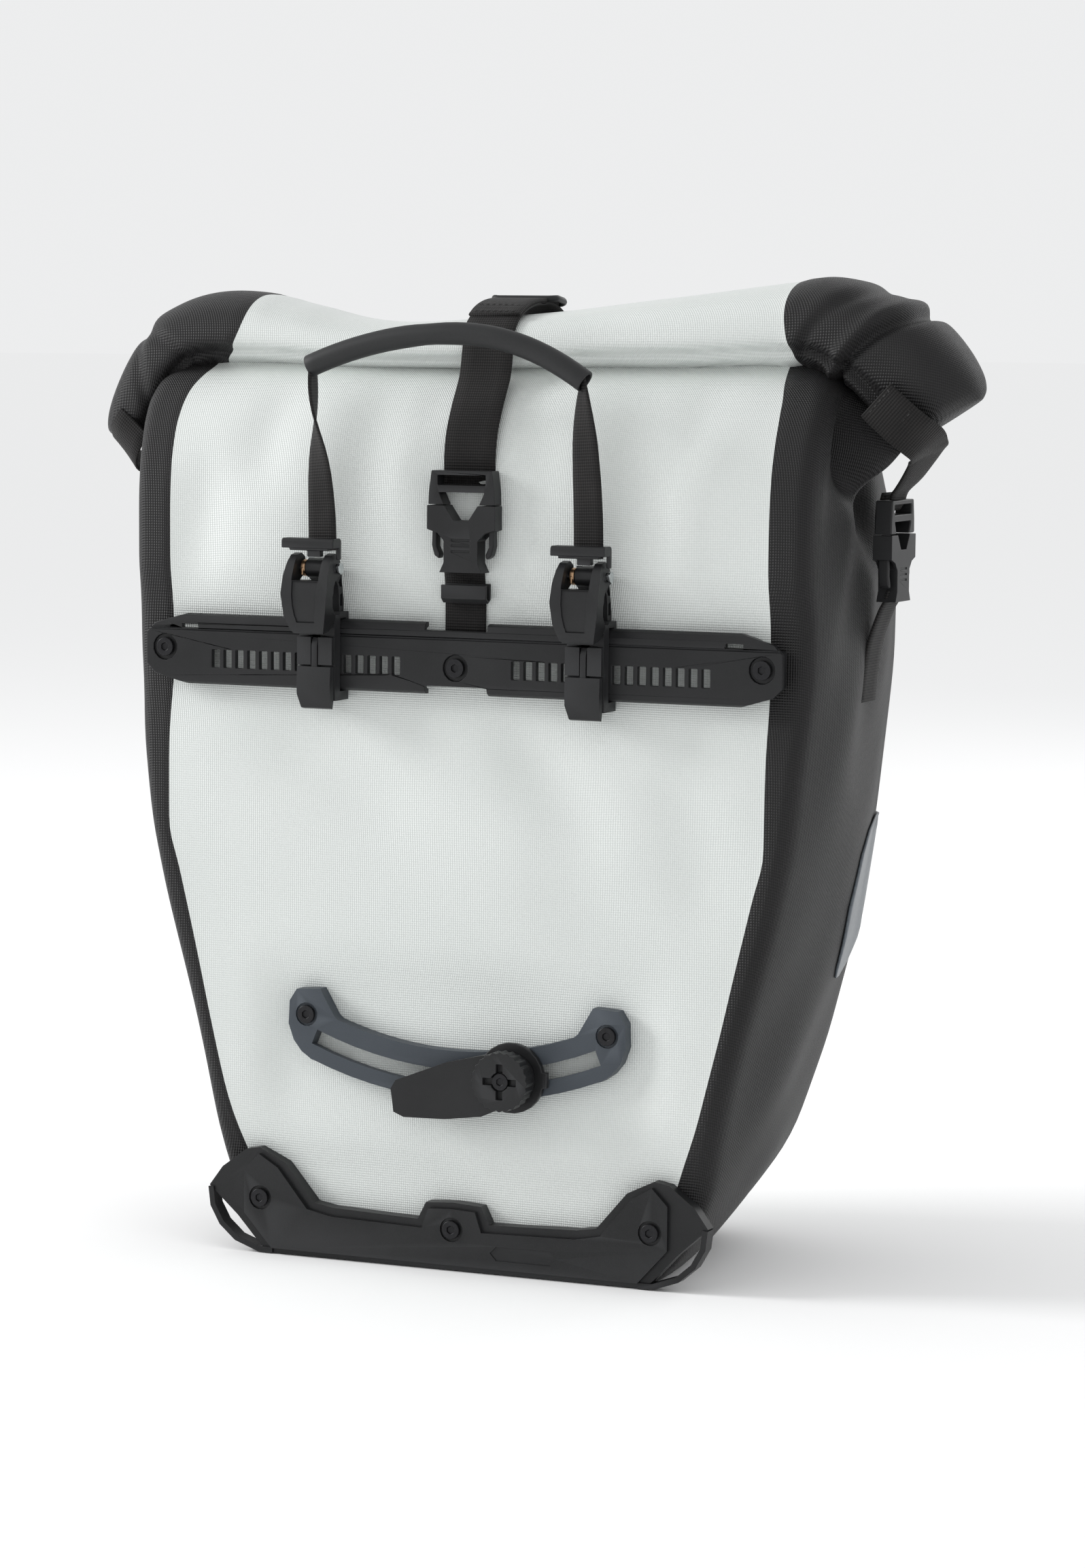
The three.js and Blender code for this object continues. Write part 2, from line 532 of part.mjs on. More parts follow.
// ---------- roll-top ----------
// Stations along the roll: x, z, half depth, half thickness and the turn of the section.
// Both ends droop past the bag's sides, the left one a little lower.
const ROLL_STATIONS = [
  [-191, 370, 12, 11.4, -72], [-187, 381.4, 19, 13, -61], [-178, 397.6, 25, 13.4, -49],
  [-165.4, 412, 29, 14.8, -32], [-150, 419.2, 31.5, 17, -12], [-126, 419, ROLL_HALF_Y, 17, 0],
  [-80, 415, ROLL_HALF_Y, 12.6, 0], [-40, 413.4, ROLL_HALF_Y, 11.4, 0],
  [0, ROLL_Z, ROLL_HALF_Y, ROLL_HALF_Z, 0], [54, 418, ROLL_HALF_Y, 15, 0],
  [100, 421, ROLL_HALF_Y, 17, 0], [150, 422.5, 31.5, 18.6, 6],
  [172, 418.5, 30, 19.4, 26], [189, 408.4, 27, 21, 43], [201.5, 392.6, 21.5, 18, 55],
  [206.6, 385, 12, 15, 58],
];
const STIFFENER_Z = ROLL_Z - 4.4;

const rollRing = ([x, z, halfDepth, halfThick, turnDeg]) => {
  const turn = turnDeg * Math.PI / 180;
  return arc(0, 0, 1, 0, 342, 19).map(([u, v]) => [
    x + v * halfThick * Math.sin(turn), ROLL_Y + u * halfDepth, z + v * halfThick * Math.cos(turn)]);
};

const addRoll = () => {
  const pocket = box(-146, 146, 38, 95, STIFFENER_Z, STIFFENER_Z + 3.6);
  add('rolled_collar', loft(ROLL_STATIONS.map(rollRing)).subtract(pocket), fabricWhite);
  add('closure_stiffener', box(-144, 144, 40, 66, STIFFENER_Z + 0.4, STIFFENER_Z + 3.2), sheetGrey);
};

// ---------- webbing ----------
const STRAP_THICK = 1.4;
const WIDE = 12.4;             // half widths of the webbing
const NARROW = 9.8;
const MALE_TOP = 45;           // height of a closed buckle

const addCentreStraps = () => {
  const crest = (a0, a1, steps, lift) => arc(0, 0, 1, a0, a1, steps).map(([u, v]) => (
    [ROLL_Y + u * (ROLL_HALF_Y + lift), ROLL_Z + v * (ROLL_HALF_Z + lift)]));
  const low = BUCKLE_Z + 36;
  const over = [[-1.4, low], [-1.4, 365], [8.6, 388.5], [15.2, 401], ...crest(184, -12, 12, 2.8)];
  add('centre_strap', prism('x', band(over, STRAP_THICK), STRAP_X - WIDE, STRAP_X + WIDE), webbing);
  const outer = [[88.4, 412.4], [90, 401], [100.5, 388.6], [121.4, 365.4], [142.4, 331], [146, 312]];
  add('outer_strap', prism('x', band(outer, STRAP_THICK), STRAP_X - WIDE, STRAP_X + WIDE), webbing);
  const short = band([[-1.35, 264], [-1.35, BUCKLE_Z + 5]], STRAP_THICK);
  const shortStrap = prism('x', short, STRAP_X - NARROW, STRAP_X + NARROW);
  add('centre_short_strap', drilled(shortStrap, ['rail_screw_middle']), webbing);
  const keeper = band([[-3, 309], [-3, 302], [-5.4, 300.8], [-7.4, 302.6], [-7.4, 308.4]], 1.3);
  add('strap_keeper', prism('x', keeper, STRAP_X - 11, STRAP_X + 11), plasticBlack);
};

// Side webbing, in the x, z plane: end webbing from the roll and side strap from the gusset.
const addSideStraps = () => {
  const y0 = SIDE_Y - NARROW;
  const y1 = SIDE_Y + NARROW;
  const ends = { left: [[189.5, 366.6], [184.5, 359]], right: [[202, 381.4], [191, 366]] };
  [['left', -1], ['right', 1]].forEach(([side, sign]) => {
    const web = [...ends[side], [SIDE_X, SIDE_Z + MALE_TOP + 3], [SIDE_X, SIDE_Z + MALE_TOP + 0.6]];
    const upper = band(web.map(([u, v]) => [sign * u, v]), STRAP_THICK);
    add(`end_webbing_${side}`, prism('y', upper, y0, y1), webbing);
    const inner = SIDE_X - 5.6;
    const strap = [[inner, SIDE_Z + 9], [inner, SIDE_Z - 4], [167, 284], [165.4, 262]];
    const lower = band(strap.map(([u, v]) => [sign * u, v]), STRAP_THICK);
    add(`side_strap_${side}`, prism('y', lower, y0, y1), webbing);
  });
};

// ---------- side-release buckles ----------
// Local frame: x across, -y the face, z up from the bottom of the female half.
const femaleHalf = () => {
  const half = [[10.3, 0], [8.2, 4.5], [8.2, 14], [11.4, 17.4], [16.4, 19], [16.4, 29.6], [8, 29.6],
    [3.5, 23]];
  const outline = [...half, ...mirrored(half)];
  let body = prism('y', outline, -4.5, 4.5);
  [-1, 1].forEach((side) => {
    const x = side * 12.1;
    body = body.subtract(box(x - 3.2, x + 3.2, -2.9, 2.9, 14, 31));
  });
  // Three plain grip grooves cross the front.
  [9, 11.5, 14].forEach((z) => {
    body = body.subtract(box(-4.6, 4.6, -5, -4.1, z, z + 1));
  });
  return body.subtract(box(-8.6, 8.6, -3.2, 5, -1, 2.6));
};

const maleHalf = () => {
  const outline = [[-16, 30], [16, 30], [15.8, 36], [14.6, MALE_TOP], [-14.6, MALE_TOP], [-15.8, 36]];
  const notch = [[-8, 29], [8, 29], [11, 35.4], [-11, 35.4]];
  return prism('y', outline, -4, 4)
    .subtract(prism('y', notch, -5, 5))
    .subtract(box(-11.6, 11.6, -5, 5, 38.6, 43));
};

const releaseArm = (side) => {
  const outline = [[10.7, 29.4], [14.2, 29.4], [14.8, 18], [15, 12], [13.8, 7.4], [11.4, 5.8],
    [10.9, 8], [12.6, 11.5], [12.5, 17.6], [10.9, 20]].map(([u, v]) => [side * u, v]);
  return prism('y', outline, -2.5, 2.5);
};

const addBuckle = (name, x, y, z, turnDeg) => {
  const place = (part, solid) => {
    const mesh = add(`${name}_${part}`, solid, plasticBlack);
    mesh.position.set(x, y, z);
    mesh.rotation.z = turnDeg * Math.PI / 180;
  };
  place('female', femaleHalf());
  place('male', maleHalf());
  place('arm_a', releaseArm(-1));
  place('arm_b', releaseArm(1));
};

addShell();
addInside();
addScrews();
addRail();
addHooks();
addHandle();
addLowerRail();
addSwayHook();
addGuard();
addRoll();
addCentreStraps();
addSideStraps();
addBuckle('centre_buckle', STRAP_X, BUCKLE_Y, BUCKLE_Z, 0);
addBuckle('left_buckle', -SIDE_X, SIDE_Y, SIDE_Z, -90);
addBuckle('right_buckle', SIDE_X, SIDE_Y, SIDE_Z, 90);

export default bag;
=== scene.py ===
# Roll-top bicycle pannier bag: the looks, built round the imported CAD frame. Everything is in metres.
# +Z is up, +X runs along the mounting rail, and the rack side of the bag faces -Y.
import json
import math

import bmesh
import bpy
import numpy as np
from mathutils import Matrix, Vector


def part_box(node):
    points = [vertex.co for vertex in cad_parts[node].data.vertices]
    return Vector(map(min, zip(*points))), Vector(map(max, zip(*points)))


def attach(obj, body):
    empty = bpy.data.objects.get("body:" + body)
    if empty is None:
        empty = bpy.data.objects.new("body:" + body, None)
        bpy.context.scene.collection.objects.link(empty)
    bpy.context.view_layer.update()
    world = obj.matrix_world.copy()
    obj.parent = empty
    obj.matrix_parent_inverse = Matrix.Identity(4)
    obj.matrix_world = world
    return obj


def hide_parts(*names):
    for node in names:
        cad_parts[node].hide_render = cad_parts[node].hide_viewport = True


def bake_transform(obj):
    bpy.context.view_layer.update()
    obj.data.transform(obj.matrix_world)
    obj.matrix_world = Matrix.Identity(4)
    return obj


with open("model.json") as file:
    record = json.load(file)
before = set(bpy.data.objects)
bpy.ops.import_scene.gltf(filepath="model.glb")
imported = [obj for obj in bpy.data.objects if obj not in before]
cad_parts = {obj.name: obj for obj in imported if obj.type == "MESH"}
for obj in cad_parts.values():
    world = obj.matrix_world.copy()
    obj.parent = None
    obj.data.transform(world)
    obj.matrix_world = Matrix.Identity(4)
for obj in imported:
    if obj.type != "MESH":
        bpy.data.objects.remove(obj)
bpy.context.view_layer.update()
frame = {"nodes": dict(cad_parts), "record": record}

MM = 0.001
PANEL_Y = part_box("bag_shell")[0].y        # plane of the back panel


# ---------- numbers ----------
def smooth(low, high, value):
    """0 below low, 1 above high, and a smooth step between them."""
    t = np.clip((value - low) / (high - low), 0.0, 1.0)
    return t * t * (3.0 - 2.0 * t)


WAVE_COUNT = 10
WAVES = np.random.default_rng(7).uniform(-1.0, 1.0, (WAVE_COUNT, 4))


def ripple(x, y, z, size):
    """Soft seeded noise between about -1 and 1 with features of the given size."""
    total = 0.0
    for a, b, c, phase in WAVES:
        total += math.sin((a * x + b * y + c * z) * 6.3 / size + phase * 9.0)
    return total / 4.5


# ---------- materials ----------
def new_material(name):
    material = bpy.data.materials.new(name)
    material.use_nodes = True
    tree = material.node_tree
    return material, tree, tree.nodes["Principled BSDF"]


def add_node(tree, kind, **inputs):
    node = tree.nodes.new(kind)
    for key, value in inputs.items():
        node.inputs[key.replace("_", " ")].default_value = value
    return node


def math_node(tree, operation, a, b=None):
    node = tree.nodes.new("ShaderNodeMath")
    node.operation = operation
    for socket, value in zip(node.inputs, (a, b)):
        if value is None:
            continue
        if isinstance(value, (int, float)):
            socket.default_value = value
        else:
            tree.links.new(value, socket)
    return node.outputs[0]


def ramp(tree, factor, stops):
    """Colour ramp; each stop is (position, (r, g, b))."""
    node = tree.nodes.new("ShaderNodeValToRGB")
    elements = node.color_ramp.elements
    while len(elements) < len(stops):
        elements.new(0.5)
    for element, (position, colour) in zip(elements, stops):
        element.position = position
        element.color = (*colour, 1.0)
    tree.links.new(factor, node.inputs["Fac"])
    return node.outputs["Color"]


def bump(tree, shader, height, distance, strength=1.0, under=None):
    node = tree.nodes.new("ShaderNodeBump")
    node.inputs["Strength"].default_value = strength
    node.inputs["Distance"].default_value = distance
    tree.links.new(height, node.inputs["Height"])
    if under is not None:
        tree.links.new(under, node.inputs["Normal"])
    tree.links.new(node.outputs["Normal"], shader.inputs["Normal"])
    return node.outputs["Normal"]


def noise(tree, scale, detail=3.0, roughness=0.5):
    coordinates = tree.nodes.new("ShaderNodeTexCoord")
    node = add_node(tree, "ShaderNodeTexNoise", Scale=scale, Detail=detail, Roughness=roughness)
    tree.links.new(coordinates.outputs["Object"], node.inputs["Vector"])
    return node.outputs["Fac"]


def fabric_axes(tree):
    """Two coordinates, in metres, that run along a vertical cloth surface whichever way it faces."""
    coordinates = tree.nodes.new("ShaderNodeTexCoord")
    split = tree.nodes.new("ShaderNodeSeparateXYZ")
    tree.links.new(coordinates.outputs["Object"], split.inputs[0])
    x, y, z = split.outputs
    across = math_node(tree, "ADD", x, y)
    along = math_node(tree, "ADD", z, math_node(tree, "MULTIPLY", y, 0.5))
    return across, along


def weave_height(tree, across, along, pitch):
    """A diagonal basket weave: the product of two crossed waves."""
    turns = 2.0 * math.pi / pitch
    plus = math_node(tree, "ADD", across, along)
    minus = math_node(tree, "SUBTRACT", across, along)
    a = math_node(tree, "SINE", math_node(tree, "MULTIPLY", plus, turns))
    b = math_node(tree, "SINE", math_node(tree, "MULTIPLY", minus, turns))
    product = math_node(tree, "MULTIPLY", a, b)
    return math_node(tree, "MULTIPLY_ADD", product, 0.5)


def fabric_material(name, dark, light, pitch, depth, rough, sheen):
    material, tree, shader = new_material(name)
    across, along = fabric_axes(tree)
    weave = weave_height(tree, across, along, pitch)
    # Base colour: random mottling of the cloth, plus a painted highlight that makes the weave's raised
    # crossings lighter.
    shade = math_node(tree, "ADD", math_node(tree, "MULTIPLY", noise(tree, 9.0, 4.0), 0.5),
                      math_node(tree, "MULTIPLY", weave, 0.5))
    tree.links.new(ramp(tree, shade, [(0.2, dark), (0.75, light)]), shader.inputs["Base Color"])
    fine = bump(tree, shader, noise(tree, 900.0, 2.0), 0.00004, 0.5)
    bump(tree, shader, weave, depth, 1.0, fine)
    shader.inputs["Roughness"].default_value = rough
    shader.inputs["Specular IOR Level"].default_value = 0.26
    shader.inputs["Sheen Weight"].default_value = sheen
    shader.inputs["Sheen Roughness"].default_value = 0.4
    return material


def webbing_material():
    """Black ribbed tape; u runs across it and v along it, both in metres."""
    material, tree, shader = new_material("black_webbing")
    uv = tree.nodes.new("ShaderNodeUVMap")
    uv.uv_map = "UVMap"
    split = tree.nodes.new("ShaderNodeSeparateXYZ")
    tree.links.new(uv.outputs["UV"], split.inputs[0])
    across, along, _ = split.outputs
    rib_pitch, yarn_pitch = 0.0013, 0.0011
    ribs = math_node(tree, "SINE", math_node(tree, "MULTIPLY", along, 2 * math.pi / rib_pitch))
    yarn = math_node(tree, "SINE", math_node(tree, "MULTIPLY", across, 2 * math.pi / yarn_pitch))
    height = math_node(tree, "ADD", ribs, math_node(tree, "MULTIPLY", yarn, 0.45))
    level = math_node(tree, "ADD", math_node(tree, "MULTIPLY", height, 0.22),
                      math_node(tree, "MULTIPLY", noise(tree, 60.0), 0.7))
    colour = ramp(tree, level, [(0.15, (0.0035, 0.0032, 0.0032)), (0.75, (0.020, 0.018, 0.0175))])
    tree.links.new(colour, shader.inputs["Base Color"])
    fuzz = bump(tree, shader, noise(tree, 2500.0, 2.0), 0.00005, 0.5)
    bump(tree, shader, height, 0.00011, 1.0, fuzz)
    shader.inputs["Roughness"].default_value = 0.78
    shader.inputs["Specular IOR Level"].default_value = 0.3
    shader.inputs["Sheen Weight"].default_value = 0.05
    return material


def moulded_material(name, dark, light, rough, grain=0.00003, scale=2600.0):
    """Injection-moulded plastic: fine spark-eroded grain, slight mottling, and convex edges painted paler
    as a painted highlight.
    """
    material, tree, shader = new_material(name)
    mottle = noise(tree, 35.0, 4.0)
    speck = noise(tree, scale, 2.0, 0.6)
    # Painted highlight: convex edges are coloured paler, as if they were catching the light.
    edge_highlight_pointiness = tree.nodes.new("ShaderNodeNewGeometry").outputs["Pointiness"]
    edge = math_node(tree, "MULTIPLY", math_node(tree, "SUBTRACT", edge_highlight_pointiness, 0.53), 4.0)
    level = math_node(tree, "ADD", math_node(tree, "MULTIPLY", mottle, 0.5),
                      math_node(tree, "ADD", math_node(tree, "MULTIPLY", speck, 0.35),
                                math_node(tree, "MAXIMUM", edge, 0.0)))
    tree.links.new(ramp(tree, level, [(0.2, dark), (0.95, light)]), shader.inputs["Base Color"])
    shine = math_node(tree, "MULTIPLY_ADD", mottle, 0.14)
    shine.node.inputs[2].default_value = rough - 0.07
    tree.links.new(shine, shader.inputs["Roughness"])
    shader.inputs["Specular IOR Level"].default_value = 0.30
    bump(tree, shader, speck, grain, 0.9)
    return material


def metal_material(name, colour, rough, metallic=1.0):
    material, tree, shader = new_material(name)
    scratches = noise(tree, 700.0, 3.0)
    spread = math_node(tree, "MULTIPLY_ADD", scratches, 0.2)
    spread.node.inputs[2].default_value = rough - 0.1
    tree.links.new(spread, shader.inputs["Roughness"])
    dim = tuple(0.75 * c for c in colour)
    tree.links.new(ramp(tree, scratches, [(0.3, dim), (0.7, colour)]), shader.inputs["Base Color"])
    shader.inputs["Metallic"].default_value = metallic
    bump(tree, shader, scratches, 0.00001, 0.5)
    return material


def reflector_material():
    """Grey retroreflective film with a fine honeycomb of cells."""
    material, tree, shader = new_material("reflector_grey")
    coordinates = tree.nodes.new("ShaderNodeTexCoord")
    cells = add_node(tree, "ShaderNodeTexVoronoi", Scale=420.0)
    tree.links.new(coordinates.outputs["Object"], cells.inputs["Vector"])
    colour = ramp(tree, cells.outputs["Distance"],
                  [(0.1, (0.105, 0.125, 0.145)), (0.8, (0.075, 0.088, 0.102))])
    tree.links.new(colour, shader.inputs["Base Color"])
    shader.inputs["Roughness"].default_value = 0.38
    bump(tree, shader, cells.outputs["Distance"], 0.00004, 0.6)
    return material


WHITE = fabric_material("white_fabric", (0.60, 0.632, 0.615), (0.745, 0.77, 0.752), 0.0021, 0.00024,
                        0.40, 0.03)
# The lighter stop is partly the cloth's random mottling and partly a painted highlight on the weave
# crossings.
BLACK = fabric_material("black_fabric", (0.0030, 0.0029, 0.0031), (0.021, 0.0203, 0.021), 0.0024,
                        0.00036, 0.50, 0.03)
LINING = fabric_material("lining", (0.05, 0.052, 0.055), (0.09, 0.093, 0.097), 0.0021, 0.00010,
                         0.6, 0.05)
WEBBING = webbing_material()
PLASTIC = moulded_material("black_plastic", (0.0065, 0.0067, 0.0072), (0.026, 0.0265, 0.028), 0.42)
GREY_PLASTIC = moulded_material("grey_plastic", (0.038, 0.046, 0.056), (0.078, 0.090, 0.105), 0.46)
SHEET = moulded_material("stiffener_sheet", (0.09, 0.09, 0.095), (0.17, 0.17, 0.18), 0.5)
RUBBER = moulded_material("grip_rubber", (0.014, 0.0145, 0.015), (0.034, 0.035, 0.036), 0.55,
                          0.00002, 1500.0)
SCREW = metal_material("black_screw", (0.022, 0.022, 0.024), 0.34, 0.7)
STEEL = metal_material("steel_pin", (0.62, 0.65, 0.66), 0.22)
COPPER = metal_material("spring_wire", (0.62, 0.40, 0.24), 0.3)
REFLECTOR = reflector_material()
THREAD = moulded_material("thread", (0.014, 0.014, 0.014), (0.045, 0.044, 0.043), 0.8)
SLOT_MATERIALS = {
    "white_fabric": WHITE, "black_fabric": BLACK, "black_webbing": WEBBING,
    "black_plastic": PLASTIC, "grey_plastic": GREY_PLASTIC, "stiffener_sheet": SHEET,
    "grip_rubber": RUBBER, "black_screw": SCREW, "steel_pin": STEEL, "spring_wire": COPPER,
}


# ---------- mesh building ----------
def make_object(name, points, faces, materials, slots=None, uvs=None, smooth_shade=True):
    """A mesh object from points and faces; slots gives each face's material, uvs each point's."""
    mesh = bpy.data.meshes.new(name)
    mesh.from_pydata([tuple(p) for p in points], [], faces)
    for material in materials:
        mesh.materials.append(material)
    if slots is not None:
        mesh.polygons.foreach_set("material_index", slots)
    if uvs is not None:
        layer = mesh.uv_layers.new(name="UVMap")
        for loop in mesh.loops:
            layer.data[loop.index].uv = uvs[loop.vertex_index]
    mesh.polygons.foreach_set("use_smooth", [smooth_shade] * len(mesh.polygons))
    mesh.update()
    piece = bpy.data.objects.new(name, mesh)
    bpy.context.scene.collection.objects.link(piece)
    return piece


def grid_faces(rows, columns, wrap=False):
    """Quads over a grid of points stored row by row, going round if wrap."""
    faces = []
    for r in range(rows - 1):
        for c in range(columns if wrap else columns - 1):
            d = (c + 1) % columns
            faces.append((r * columns + c, r * columns + d, (r + 1) * columns + d,
                          (r + 1) * columns + c))
    return faces


def apply_modifiers(piece):
    """Bakes the modifiers of a piece into its mesh."""
    depsgraph = bpy.context.evaluated_depsgraph_get()
    mesh = bpy.data.meshes.new_from_object(piece.evaluated_get(depsgraph))
    piece.modifiers.clear()
    piece.data = mesh
    return piece


def subdivide(piece, levels=1):
    modifier = piece.modifiers.new("subdivision", "SUBSURF")
    modifier.levels = modifier.render_levels = levels
    return piece


def catmull(points, steps):
    """A smooth curve through the points, as a list of Vectors."""
    pts = [Vector(p) for p in points]
    pts = [2 * pts[0] - pts[1], *pts, 2 * pts[-1] - pts[-2]]
    result = []
    for i in range(1, len(pts) - 2):
        a, b, c, d = pts[i - 1:i + 3]
        for k in range(steps):
            t = k / steps
            result.append(0.5 * (2 * b + (c - a) * t + (2 * a - 5 * b + 4 * c - d) * t * t
                                 + (3 * b - 3 * c + d - a) * t**3))
    result.append(pts[-2])
    return result


def ribbon(name, path, widths, across, thickness=0.0014, body=None, edge=0.35):
    """A strap along a path. widths and across may be one value or one for each point of the path."""
    count = len(path)
    if not isinstance(widths, (list, tuple)):
        widths = [widths] * count
    if isinstance(across, Vector):
        across = [across] * count
    points, uvs, length = [], [], 0.0
    # The section is a flat tape with rounded edges, listed once round.
    shape = [(-1.0, -edge), (-0.96, -1.0), (-0.5, -1.0), (0.0, -1.0), (0.5, -1.0), (0.96, -1.0),
             (1.0, -edge), (1.0, edge), (0.96, 1.0), (0.5, 1.0), (0.0, 1.0), (-0.5, 1.0),
             (-0.96, 1.0), (-1.0, edge)]
    for i, centre in enumerate(path):
        ahead = path[min(i + 1, count - 1)] - path[max(i - 1, 0)]
        side = (across[i] - ahead * across[i].dot(ahead) / ahead.length_squared).normalized()
        normal = ahead.cross(side).normalized()
        if i:
            length += (path[i] - path[i - 1]).length
        for u, v in shape:
            points.append(centre + side * u * widths[i] / 2 + normal * v * thickness / 2)
            uvs.append((u * widths[i] / 2, length))
    columns = len(shape)
    faces = grid_faces(count, columns, wrap=True)
    faces.append(tuple(range(columns))[::-1])
    faces.append(tuple((count - 1) * columns + c for c in range(columns)))
    piece = make_object(name, points, faces, [WEBBING], uvs=uvs)
    if body:
        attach(piece, body)
    return piece


def row(x, y, z):
    """A point given in millimetres, with y from the back panel and z from the base."""
    return Vector((x * MM, PANEL_Y + y * MM, z * MM))


# ---------- bag body ----------
# Tables of height and value in millimetres, like row()'s.
CORNER_X = [(0, 93), (12, 106), (25, 113), (40, 120), (87, 130), (111, 136), (161, 150), (197, 158),
            (235, 162), (276, 165), (370, 165.5), (388, 166.5), (397, 165), (404, 158), (424, 150)]
BORDER_X = [(0, 90), (44, 106), (71, 116), (110, 126), (145, 134), (176, 141.5), (192, 146.5),
            (380, 147), (392, 146), (400, 143), (404, 141), (424, 140)]
OUTER_X = [(0, 80), (9, 86), (25, 99), (50, 116), (97, 131), (148, 143), (206, 151), (264, 158),
           (320, 163), (365, 162), (388, 159), (404, 152), (424, 147)]
BACK_Y = [(0, 0), (345, 0.3), (362, 2.2), (376, 6.5), (387, 13), (395, 20.5), (400, 28), (404, 37),
          (410, 45), (424, 50)]
FRONT_Y = [(0, 133), (12, 139), (40, 144), (90, 149), (160, 154), (200, 156), (276, 153),
           (330, 140), (365, 118), (388, 97), (399, 81), (404, 70), (410, 61), (424, 56)]
HEIGHTS = [1.5, 3, 6, 10, 16, 24, 34, 44, 56, 70, 84, 98, 112, 126, 140, 154, 166, 176, 184, 192,
           204, 218, 232, 246, 260, 274, 288, 300, 312, 322, 332, 340, 348, 355, 361, 367, 372,
           377, 382, 386, 390, 393.5, 396.5, 399, 401.5, 404, 406.5, 409, 412, 416, 420]
BACK_COLUMNS, BORDER_COLUMNS, CORNER_COLUMNS, SIDE_COLUMNS = 30, 4, 3, 22
OUTER_CORNER_COLUMNS, FRONT_COLUMNS = 5, 13
BACK_FOLDS = [((-45, 396), (-52, 330), 13, 3.0), ((78, 392), (94, 318), 15, 3.2),
              ((18, 252), (66, 196), 12, 3.0), ((-96, 245), (-30, 205), 16, 2.2),
              ((-20, 398), (-14, 350), 8, 2.0), ((104, 244), (120, 160), 15, 2.0),
              ((-125, 360), (-136, 300), 11, 2.4), ((40, 180), (110, 130), 18, 1.6),
              ((112, 398), (104, 356), 8, 2.4), ((30, 396), (38, 352), 9, 2.2),
              ((-92, 396), (-104, 350), 9, 2.2), ((60, 244), (20, 226), 7, 1.6)]
FOLD_GAIN = 1.45       # the folds' depths are multiplied by this
FOLD_REST = 1.6        # and the panel stands this proud where there are none
BULGE_DEPTH = 3.0      # the free panel bulges out by about this as well
DENT_LIMIT = 1.7       # dents stop softly near here, clear of the stiffener sheet behind
DENT_SLACK = 0.2       # and may pass it by this
DENT_STIFFNESS = 1.6   # how abruptly they stop


def table(rows, z):
    return float(np.interp(z, [r[0] for r in rows], [r[1] for r in rows]))


def fold(x, z, line):
    """Depth of one soft crease at (x, z); it runs along a line and fades at both ends."""
    (x0, z0), (x1, z1), width, depth = line
    dx, dz = x1 - x0, z1 - z0
    length = math.hypot(dx, dz)
    along = ((x - x0) * dx + (z - z0) * dz) / length / length
    aside = ((x - x0) * dz - (z - z0) * dx) / length
    fade = float(smooth(-0.25, 0.3, along) * (1.0 - smooth(0.7, 1.25, along)))
    return depth * fade * math.exp(-(aside / width) ** 2)


def clear_of_hardware(x, z):
    """1 where the back panel is free to sink, 0 under the rails and the edge guard."""
    rail = 1.0 - float(smooth(20, 34, abs(z - 275)))
    lower = float(1.0 - smooth(22, 40, abs(z - 100))) * float(1.0 - smooth(84, 104, abs(x)))
    guard = 1.0 - float(smooth(40, 60, z))
    return 1.0 - max(rail, lower, guard)


def back_surface(x, z):
    """y of the back panel at (x, z)."""
    dents = FOLD_GAIN * sum(fold(x, z, line) for line in BACK_FOLDS) - FOLD_REST
    dents += 1.1 * ripple(x, 0, z, 120.0) + 0.5 * ripple(z, 40, x, 60.0)
    room = DENT_STIFFNESS * (DENT_LIMIT + BULGE_DEPTH - dents)
    dents = DENT_LIMIT - math.log1p(math.exp(room)) / DENT_STIFFNESS + DENT_SLACK
    return table(BACK_Y, z) + dents * clear_of_hardware(x, z)


# Slanted tucks in the gusset: place across it at TUCK_TOP, how much further across it lies for each
# millimetre lower, depth, and the heights where it starts, is deepest and ends.
TUCK_TOP = 395.0
GUSSET_TUCKS = [(0.13, 0.0058, 18.0, 336, 378, 401), (0.87, -0.0058, 15.0, 330, 374, 401),
                (0.50, 0.0020, 6.0, 300, 340, 376)]
TUCK_WIDTH = 0.10
EAR_REACH = 31.0       # how far the gusset's middle runs out under the ends of the roll
EAR_DROOP = 0.62       # how far it hangs down there, as a part of its reach


def ear_reach(t, z):
    return EAR_REACH * float(smooth(336, 402, z)) ** 1.3 * math.exp(-((t - 0.5) / 0.24) ** 2)


def side_surface(t, z):
    """x and y of the right gusset; t runs from 0 at the back corner to 1 at the outer corner."""
    y0, y1 = table(BACK_Y, z), table(FRONT_Y, z)
    x0, x1 = table(CORNER_X, z), table(OUTER_X, z)
    depth = y1 - y0
    back_r = min(7.0, depth / 6)
    outer_r = min(30.0, depth / 3)
    y = y0 + back_r + (depth - back_r - outer_r) * t
    bulge = 4.0 * math.sin(math.pi * t) * float(smooth(20, 120, z)) * (1.0 - float(smooth(300, 350, z)))
    x = x0 + (x1 - x0) * t**1.6 + bulge
    # Towards the mouth the middle of the gusset runs out into the folded end of the roll, and beside
    # it the cloth is tucked deep in.
    across = math.sin(math.pi * min(max(t, 0.0), 1.0))
    x += ear_reach(t, z)
    for place, slant, depth_in, low, peak, high in GUSSET_TUCKS:
        rise = float(smooth(low, peak, z)) * (1.0 - float(smooth(peak, high, z)))
        middle = place + slant * (TUCK_TOP - z)
        x -= depth_in * rise * (0.35 + 0.65 * across) * math.exp(-((t - middle) / TUCK_WIDTH) ** 2)
    crease = 2.4 * float(smooth(200, 330, z)) * (1.0 - float(smooth(396, 404, z)))
    x += crease * math.sin((y - 0.55 * (z - 300)) / 8.5) * across
    x += 2.6 * ripple(0, y, z, 80.0) * across * float(smooth(10, 60, z))
    return x, y, back_r, outer_r


